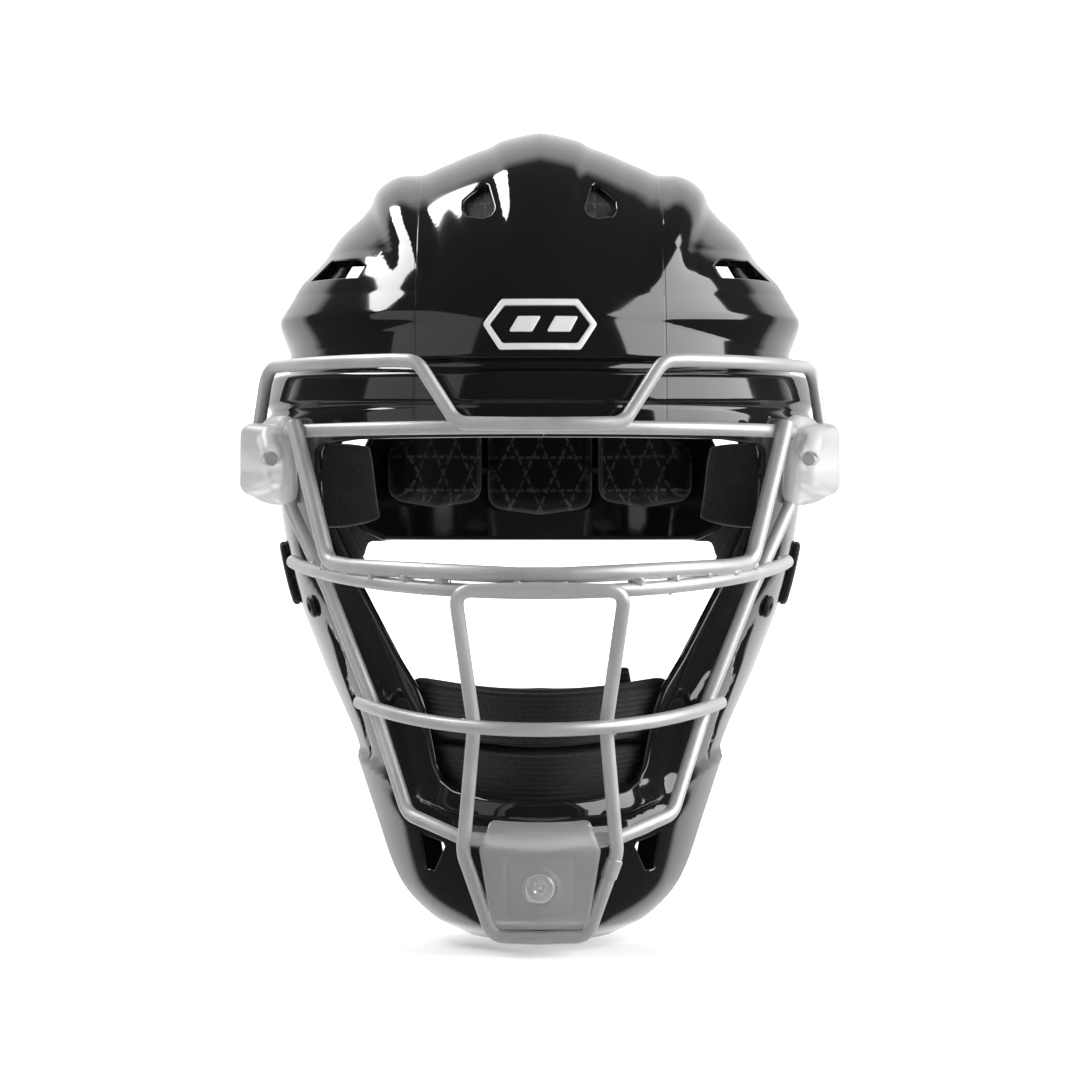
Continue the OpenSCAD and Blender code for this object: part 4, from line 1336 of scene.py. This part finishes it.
def paint_node(obj, look):
    """New finish on a CAD node that stays."""
    if not obj.material_slots:
        obj.data.materials.append(look.material)
    for k in range(len(obj.material_slots)):
        obj.material_slots[k].link = "OBJECT"
        obj.material_slots[k].material = look.material


# ---------------------------------------------------------------- pads
PAD_EDGE = 0.45  # share of a pad's depth that stands at its edge


def dome(depth, round_off):
    """Height of a stuffed pad by distance from its edge, with a sewn groove just inside it."""

    def height(d):
        groove = 0.7 * np.exp(-((d - 3.2) / 0.7) ** 2)
        return depth * (PAD_EDGE + (1 - PAD_EDGE) * bulge(d, round_off)) - groove

    return height


def undercut(depth):
    return lambda d: depth * PAD_EDGE * (1 - bulge(d, 4.0))


def pad_in_shell(name, corners, radius, depth, gap, spread=1.9, spine=None, channels=None, round_off=9):
    """Pad lying inside the shell; corners are (azimuth, height)."""

    def place(a, b, h):
        return skin(a / spread, row_of(b), -(SHELL_T + gap + h), 0.5)

    edge = outline([(phi * spread, z) for phi, z in corners], radius, step=2.0)
    spine = spine and [(phi * spread, z) for phi, z in spine]
    piece = panel(name, edge, place, dome(depth, round_off), undercut(depth), spine, relief=channels)
    return subdivide(flip_if_inward(piece))


def flip_if_inward(obj):
    """Faces outwards, whichever way the form was laid."""
    shape = bmesh.new()
    shape.from_mesh(obj.data)
    if shape.calc_volume(signed=True) < 0:
        bmesh.ops.reverse_faces(shape, faces=shape.faces)
    shape.to_mesh(obj.data)
    shape.free()
    return obj


def soft(piece, body, node, look):
    finish_piece(piece, body, node, "pad_fabric", look)


def channels_at(places):
    """Sewn channels down a pad at places across it."""
    return lambda a, b: -sum(1.4 * np.exp(-((a - p) / 1.6) ** 2) for p in places)


def shell_pads():
    for node, corners, radius, depth, gap, spine, channels in (
        ("brow_pad", [(-48, 42), (48, 42), (48, 72), (-48, 72)], 6, 9.5, 3, [(-41, 57), (41, 57)], (-46, 0, 46)),
        ("crown_pad_front", [(-46, 102), (46, 102), (30, 152), (-30, 152)], 9, 9, 1, None, (-30, 30)),
        ("crown_pad_rear", [(142, 111), (218, 111), (208, 152), (152, 152)], 9, 9, 1, None, (318, 366)),
    ):
        pad = pad_in_shell(node + "_foam", corners, radius, depth, gap, spine=spine, channels=channels_at(channels))
        soft(pad, SHELL, node, LINER)

    def sides(piece, node, look):
        for one, side in zip((piece, mirrored(piece, piece.name.replace("_left", "_right"))), ("left", "right")):
            soft(one, SHELL, node + side, look)

    corners = [(66, 2.5), (84, 2.5), (84, 38), (66, 38)]
    sides(pad_in_shell("temple_pad_left_foam", corners, 2.5, 27.5, 3.2, round_off=3), "temple_pad_", FLOCK)
    corners = [(50, -55), (63, -55), (84, -16), (62, -16)]
    sides(pad_in_shell("jaw_pad_left_foam", corners, 4, 11, 1, spread=1.7, round_off=6), "jaw_pad_", VELVET)
    corners = [(-50, -99), (50, -99), (49, -56.5), (0, -53.5), (-49, -56.5)]
    chin = pad_in_shell("chin_pad_knit", corners, 8, 13, 6, spine=[(-40, -77), (40, -77)], round_off=10)
    soft(chin, SHELL, "chin_pad", KNIT)
    tab = panel(
        "chin_pad_pull", outline([(-4, 0), (4, 0), (2.8, 6.6), (-2.8, 6.6)], 1.4, step=0.8),
        lambda a, b, h: np.stack([31 + a, -91.4 - h, -55.2 + b], -1),
        lambda d: 3 - 1.2 * np.exp(-d / 0.7), lambda d: 1.2 * np.exp(-d / 0.7),
    )
    finish_piece(flip_if_inward(tab), SHELL, "chin_pad_tab", "pad_fabric", KNIT)


# ---------------------------------------------------------------- back plate
PLATE_W, PLATE_B, PLATE_T = 101.0, 117.0, 3.5
PLATE_SPREAD = ((0, 43), (4, 50), (10, 52.5), (22, 53), (40, 49), (56, 43), (66, 37), (74, 29), (79, 22))
PLATE_SCALE = 1.85


def plate_point(angle, z, off=0.0):
    """Point of the back plate's outer face at an angle from straight back."""
    angle, z = np.radians(np.asarray(angle, float)), np.asarray(z, float)
    tall = np.sqrt(1 - (np.maximum(z - BROW_Z, 0) / DOME_H) ** 2)
    p = np.stack([PLATE_W * tall * np.sin(angle), PLATE_B * tall * np.cos(angle), z + 0 * angle], -1)
    slope = np.maximum(z - BROW_Z, 0) / DOME_H ** 2 + 0 * angle
    n = unit(np.stack([np.sin(angle) / PLATE_W, np.cos(angle) / PLATE_B, slope], -1))
    return p + n * np.asarray(off)[..., None]


def back_plate():
    side = [(a * PLATE_SCALE, z, 6) for z, a in PLATE_SPREAD]
    edge = outline(side + [(-a, z, r) for a, z, r in reversed(side)], step=1.6)

    def relief(a, b):
        inset = inset_of(np.stack([a, b], -1), edge)
        step = 1.3 * smooth(9, 10.2, inset) - 1.3 * smooth(17, 18.2, inset)
        return step + 0.9 * np.exp(-(a / 3.2) ** 2) * smooth(16, 22, inset)

    plate = panel(
        "back_plate_body", edge, lambda a, b, h: plate_point(a / PLATE_SCALE, b, h - PLATE_T),
        rolled(PLATE_T, 1.5, 1.5), rolled(0, -1.5, 1.5),
        spine=[(-60, 30), (60, 30)], rings=40, relief=relief,
    )
    finish_piece(flip_if_inward(plate), PLATE, "back_plate", "shell_black", SHELL_GLOSS)

    def pad(node, a0, a1, foot):
        def inset(a, z):
            limit = np.interp(z, [p[0] for p in PLATE_SPREAD], [p[1] for p in PLATE_SPREAD]) - 7
            return np.clip(a, -limit, limit)

        def place(a, b, h):
            return plate_point(inset(a / PLATE_SCALE, b), b, -(PLATE_T + 0.6 + h))

        corners = ((a0, foot + 2), ((a0 + a1) / 2, foot - 1), (a1, foot + 2), (a1, 64), (a0, 64))
        edge = outline([(a * PLATE_SCALE, z) for a, z in corners], 8, step=1.8)
        piece = panel(node + "_foam", edge, place, dome(14.6, 8), undercut(14.6), rings=18)
        soft(subdivide(flip_if_inward(piece)), PLATE, node, LINER)

    pad("rear_pad_left", 17, 44, 15)
    pad("rear_pad_centre", -14.5, 14.5, 12)
    pad("rear_pad_right", -44, -17, 15)


# ---------------------------------------------------------------- straps
HINGE = np.array([0, 118.0, 72.0])
STRAP_GAP, SLIDE_HALF = 0.9, 6.5
STRAP_LIFT = STRAP_T / 2 + 1.2


def spline(points, step=1.5):
    """Smooth close points through a few."""
    p = np.array(points, float)
    p = np.concatenate([[2 * p[0] - p[1]], p, [2 * p[-1] - p[-2]]])
    out = []
    for a, b, c, d in zip(p, p[1:], p[2:], p[3:]):
        k = max(2, int(np.linalg.norm((c - b)[:3]) / step))
        t = (np.arange(k) / k)[:, None]
        square, cube = (2 * a - 5 * b + 4 * c - d) * t ** 2, (3 * b - a - 3 * c + d) * t ** 3
        out.append(0.5 * (2 * b + (c - a) * t + square + cube))
    return np.concatenate(out + [p[-2:-1]])


def strap(name, stations, width=STRAP_W, t=STRAP_T):
    """Webbing through stations, each (centre, across, face)."""
    line = spline([np.concatenate(station) for station in stations])
    centre, across = line[:, :3], unit(line[:, 3:6])
    face = unit(line[:, 6:9] - across * np.sum(line[:, 6:9] * across, 1, keepdims=True))
    half = width / 2 - t / 2
    arc = [(t / 2 * math.cos(a), t / 2 * math.sin(a)) for a in np.linspace(-math.pi / 2, math.pi / 2, 5)]
    flat = np.linspace(-half, half, 11)
    section = [(x, t / 2) for x in flat[:-1]] + [(half + x, y) for x, y in arc[:0:-1]]
    section += [(x, -t / 2) for x in flat[:0:-1]] + [(-half - x, y) for x, y in arc[:-1]]
    m = len(section)
    along = np.concatenate([[0], np.cumsum(np.linalg.norm(np.diff(centre, axis=0), axis=1))])
    points, uv = [], []
    for k in range(len(centre)):
        for x, y in section:
            points.append(centre[k] + across[k] * x + face[k] * y)
            uv.append((along[k] * 0.01, x * 0.01))
    faces = strips(len(centre), m) + end_faces(len(centre), m)
    return flip_if_inward(new_mesh(name, points, faces, uv=uv, sharp=60))


def route():
    """Side strap: where it leaves the shell, where its slide is, and where it meets the plate."""
    anchor = plate_point(45, 11, STRAP_LIFT + 1.4)
    leave = skin(np.array(118.0), row_of(STRAP_Z), STRAP_T / 2 + STRAP_GAP) + np.array([1.2, 1.2, 0])
    way = unit(anchor - leave)
    face = unit(np.array([way[1], -way[0], 0]))
    return anchor, leave, way, mix(leave, anchor, 0.45), face


# Bars of a strap slide: centre, half sizes and corner radius.
SLIDE_BARS = (
    (-5.2, 0, 1.3, 15.5, 0.9), (0, 0, 1.1, 15.5, 0.9), (5.2, 0, 1.3, 15.5, 0.9),
    (0, -14.6, 6.5, 1.6, 1.2), (0, 14.6, 6.5, 1.6, 1.2),
)


def bend_between(end):
    """Finish of a strap piece on either side of the helmet: its place baked into the mesh, its CAD node hidden and
    its look painted; it is held by no body.
    """

    def finish(one, body, node, slot, look):
        turn = np.array([-1 if "right" in one.name else 1, 1, 1]) * MM
        finish_blend(one, node, slot, look)

    return finish


def side_straps():
    anchor, leave, way, middle, face = route()
    gap = SLIDE_HALF + 0.4
    stations = []
    for phi in (96, 99, 102, 105, 108, 111, 114, 117):
        low, high = (skin(np.array(float(phi)), row_of(STRAP_Z + h)) for h in (-12.5, 12.5))
        p, n = form(np.array(float(phi)), row_of(STRAP_Z))
        lift = -9 if phi == 96 else STRAP_T / 2 + STRAP_GAP
        stations.append((p + n * (float(relief(p, np.array(float(phi)))) + lift), unit(high - low), n))
    upright = unit(np.cross(face, way))
    stations.append((middle - way * gap, upright, face))
    piece = strap("side_strap_left_web", stations)

    bend = bend_between(middle - way * gap)
    pair(piece, None, "side_strap_left", "strap_elastic", WEBBING, bend)
    outer = [(middle + way * gap, upright, face), (anchor, np.array([0, 0, 1.0]), face)]
    for a, z, off in ((41, 12, 0.5), (36, 13, 0), (32, 14, 0), (29, 14.6, 0)):
        p = plate_point(a, z, STRAP_LIFT + off)
        outer.append((p, np.array([0, 0, 1.0]), unit(p - plate_point(a, z))))
    piece = strap("strap_end_left_web", outer)

    bend = bend_between(anchor)
    pair(piece, None, "strap_end_left", "strap_elastic", WEBBING, bend)
    place = on_seat((middle, way, upright, face))
    bars = []
    for x, z, w, h, r in SLIDE_BARS:
        edge = outline([(x - w, z - h), (x + w, z - h), (x + w, z + h), (x - w, z + h)], r, step=0.8)
        bars.append(panel("bar", edge, place, rolled(1.7, 0.8, 0.8), rolled(-1.7, -0.8, 0.8), rings=6))
    slide = fused("strap_slide_left_frame", [flip_if_inward(b) for b in bars], 0.5, 3)
    pair(slide, CARRIAGE, "strap_slide_left", "trim_black", TRIM)
    weave = [
        (middle + way * 6.9 * k + face * (1.5 * math.cos(3 * math.pi * k * 0.62) - 0.4), upright, face)
        for k in np.linspace(-1, 1, 17)
    ]
    pair(strap("strap_weave_left", weave, STRAP_W - 2.5, 1.2), CARRIAGE, None, "strap_elastic", WEBBING)
    per_degree = 1.9
    corners = ((84, -26, 5), (98, -24, 7), (98, -2, 6), (84, 0, 4))
    edge = outline([(phi * per_degree, z, r) for phi, z, r in corners], step=1.2)
    tab = panel(
        "strap_tab_left_pile", edge, lambda a, b, h: skin(a / per_degree, row_of(b), h),
        lambda d: 1.6 + 1.5 * bulge(d, 2), lambda d: 0.6 + 0 * d, rings=12,
    )
    pair(flip_if_inward(tab), SHELL, "strap_tab_left", "strap_elastic", LOOPS)
    rivets = []
    profile = [
        (0.02, 1.9), (1.4, 1.8), (2.8, 1.4), (3.7, 0.7), (4, 0.1), (4, -0.4), (1.6, -0.4), (1.6, -2.4), (0.02, -2.4),
    ]
    for z in (6, 18):
        p = plate_point(36, z, STRAP_LIFT + STRAP_T / 2 + 0.4)
        n = unit(p - plate_point(36, z))
        rivets.append(turned("rivet", profile, (p, *down_and_across(n), n), 32))
    heads = joined("plate_rivet_heads", rivets + [mirrored(r, "rivet") for r in rivets])
    finish_piece(heads, PLATE, "plate_rivets", "screw_chrome", STEEL)


def finish_blend(one, node, slot, look):
    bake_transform(one)
    if node:
        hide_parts(node)
    paint(one, look)


def top_strap():
    """Strap from the shell's back down round the plate's hinge bar."""
    x_axis = np.array([1.0, 0, 0])
    stations = []
    for z in (114, 110, 104, 98, 92, 87):
        p = skin(np.array(180.0), row_of(z), STRAP_T / 2 + STRAP_GAP, 0)
        _, n = form(np.array(180.0), row_of(z))
        stations.append((p, x_axis, n))
    top = HINGE + (0, -1.2, 8.6)
    stations.append((top + (0, 0.4, 2.4), x_axis, np.array([0, 1.0, 0.1])))
    stations.append((top, x_axis, np.array([0, 1.0, 0])))
    piece = strap("top_strap_web", stations)
    finish_blend(piece, "top_strap", "strap_elastic", WEBBING)
    radius = 2.5 + 0.05 + STRAP_T / 2
    turns = [(math.cos(t), math.sin(t)) for t in np.radians(np.arange(120, 421, 20))]
    ring = [((-1.0, 7.6), (-1.0, 0)), ((-1.6, 5.4), (-1.0, 0.2))]
    ring += [((radius * y, radius * z), (y, z)) for y, z in turns]
    ring += [((1.2, 5.2), (1.0, 0.2)), ((0.7, 7.6), (1.0, 0))]
    loop = strap("top_strap_fold", [(HINGE + (0, *at), x_axis, np.array([0, *out])) for at, out in ring])
    finish_piece(loop, CARRIAGE, "top_strap_loop", "strap_elastic", WEBBING)
    place = on_seat(seat(180, 104, STRAP_T + STRAP_GAP + 0.2))
    edge = outline([(-7, -17), (7, -17), (7, 17), (-7, 17)], 3.5, step=1.0)
    anchor = panel("top_strap_plate", edge, place, rolled(2.3, 0.9, 1.0), rings=10)
    finish_piece(flip_if_inward(anchor), SHELL, "top_strap_anchor", "trim_black", TRIM)
    origin, down, across, out = seat(180, 104, STRAP_T + STRAP_GAP + 2.4)
    profile = [(0.02, 1.3), (1.6, 1.1), (2.5, 0.4), (2.6, -3.6), (0.02, -3.6)]
    for k, y in enumerate((-14.6, 14.6)):
        head = turned("anchor_rivet_%d" % k, profile, (origin + across * y, down, across, out), 28)
        finish_piece(head, SHELL, None, "screw_chrome", STEEL)
    paint_node(frame["nodes"]["hinge_bar"], STEEL)
    paint_node(frame["nodes"]["hinge_bracket"], TRIM)
    bevel = frame["nodes"]["hinge_bracket"].modifiers.new("bevel", "BEVEL")
    bevel.width, bevel.segments, bevel.limit_method = 0.5 * MM, 3, "ANGLE"


# ---------------------------------------------------------------- assembly
paint(shell, SHELL_GLOSS)
badge()
eyelets()
cage()
side_clip()
chin_clip()
screws()
shell_pads()
back_plate()
side_straps()
top_strap()


# ---------------------------------------------------------------- floor, lights and camera
FLOOR_Z = -153.5


def stage():
    """Pale floor that rises behind into a plain backdrop."""
    bend = [(1200 * (1 + math.sin(t)), 1200 * (1 - math.cos(t))) for t in np.linspace(0.1, math.pi / 2, 12)]
    run = [(-2500, 0), (1200, 0)] + bend + [(2400, 3200)]
    points = [(x, y, z + FLOOR_Z) for y, z in run for x in (-4000, 4000)]
    faces = [[2 * k, 2 * k + 1, 2 * k + 3, 2 * k + 2] for k in range(len(run) - 1)]
    sweep = new_mesh("floor", points, faces)
    look = Look("pale_floor", Roughness=0.9, Specular_IOR_Level=0.1)
    tone = look.ramp(look.noise(0.8, 2), (0.3, 0.86), (0.7, 0.88))
    x, y, _ = look.split()
    away = look.maths("SQRT", look.maths("MULTIPLY_ADD", x, x, look.maths("MULTIPLY", y, y)))
    glow = look.ranged(away, 0.7, 2.0, 0.4, 1.2)
    look.shade(Base_Color=tone, Emission_Color=tone, Emission_Strength=glow)
    paint(sweep, look)
    sweep.visible_glossy = False


def softbox(name, azimuth, elevation, width, height, radiance, distance=2.0):
    """Soft panel aimed at the helmet; azimuth 0 is in front of the face, 90 at +X."""
    a, e = math.radians(azimuth), math.radians(elevation)
    at = Vector((math.cos(e) * math.sin(a), -math.cos(e) * math.cos(a), math.sin(e))) * distance
    light = bpy.data.lights.new(name, "AREA")
    light.shape, light.size, light.size_y = "RECTANGLE", width, height
    light.energy = radiance * math.pi * width * height
    obj = placed(name, light)
    obj.location = at
    obj.rotation_euler = (-at).to_track_quat("-Z", "Y").to_euler()
    obj.visible_camera = False


def lights():
    softbox("panel_right", 77, 27, 2.0, 1.9, 4.4)
    softbox("panel_left_high", -116, 51, 1.4, 0.6, 10.0)
    softbox("panel_left", -60, 22, 1.6, 1.7, 0.7)
    world = bpy.data.worlds.new("studio")
    bpy.context.scene.world = world
    world.use_nodes = True
    tree = world.node_tree
    coords = tree.nodes.new("ShaderNodeTexCoord")
    split = tree.nodes.new("ShaderNodeSeparateXYZ")
    tree.links.new(coords.outputs["Generated"], split.inputs[0])
    ramp = tree.nodes.new("ShaderNodeValToRGB")
    tree.links.new(split.outputs["Y"], ramp.inputs[0])
    line = ramp.color_ramp.elements
    line[0].position, line[0].color = 0.56, (0.09, 0.09, 0.09, 1)
    line[1].position, line[1].color = 0.66, (1, 1, 1, 1)
    pale = tree.nodes.new("ShaderNodeMixRGB")
    tree.links.new(tree.nodes.new("ShaderNodeLightPath").outputs["Is Camera Ray"], pale.inputs["Fac"])
    tree.links.new(ramp.outputs[0], pale.inputs["Color1"])
    pale.inputs["Color2"].default_value = (1, 1, 1, 1)
    tree.links.new(pale.outputs[0], tree.nodes["Background"].inputs["Color"])
    tree.nodes["Background"].inputs["Strength"].default_value = 1.0


def camera():
    """Level camera in front of the face, at the height of the ears."""
    data = bpy.data.cameras.new("camera")
    data.lens, data.sensor_width = 122.87, 36
    obj = placed("camera", data)
    obj.location = (0, -1.5, 0)
    obj.rotation_euler = (math.pi / 2, 0, 0)
    bpy.context.scene.camera = obj


stage()
lights()
camera()
bpy.context.scene.view_settings.view_transform = "Standard"
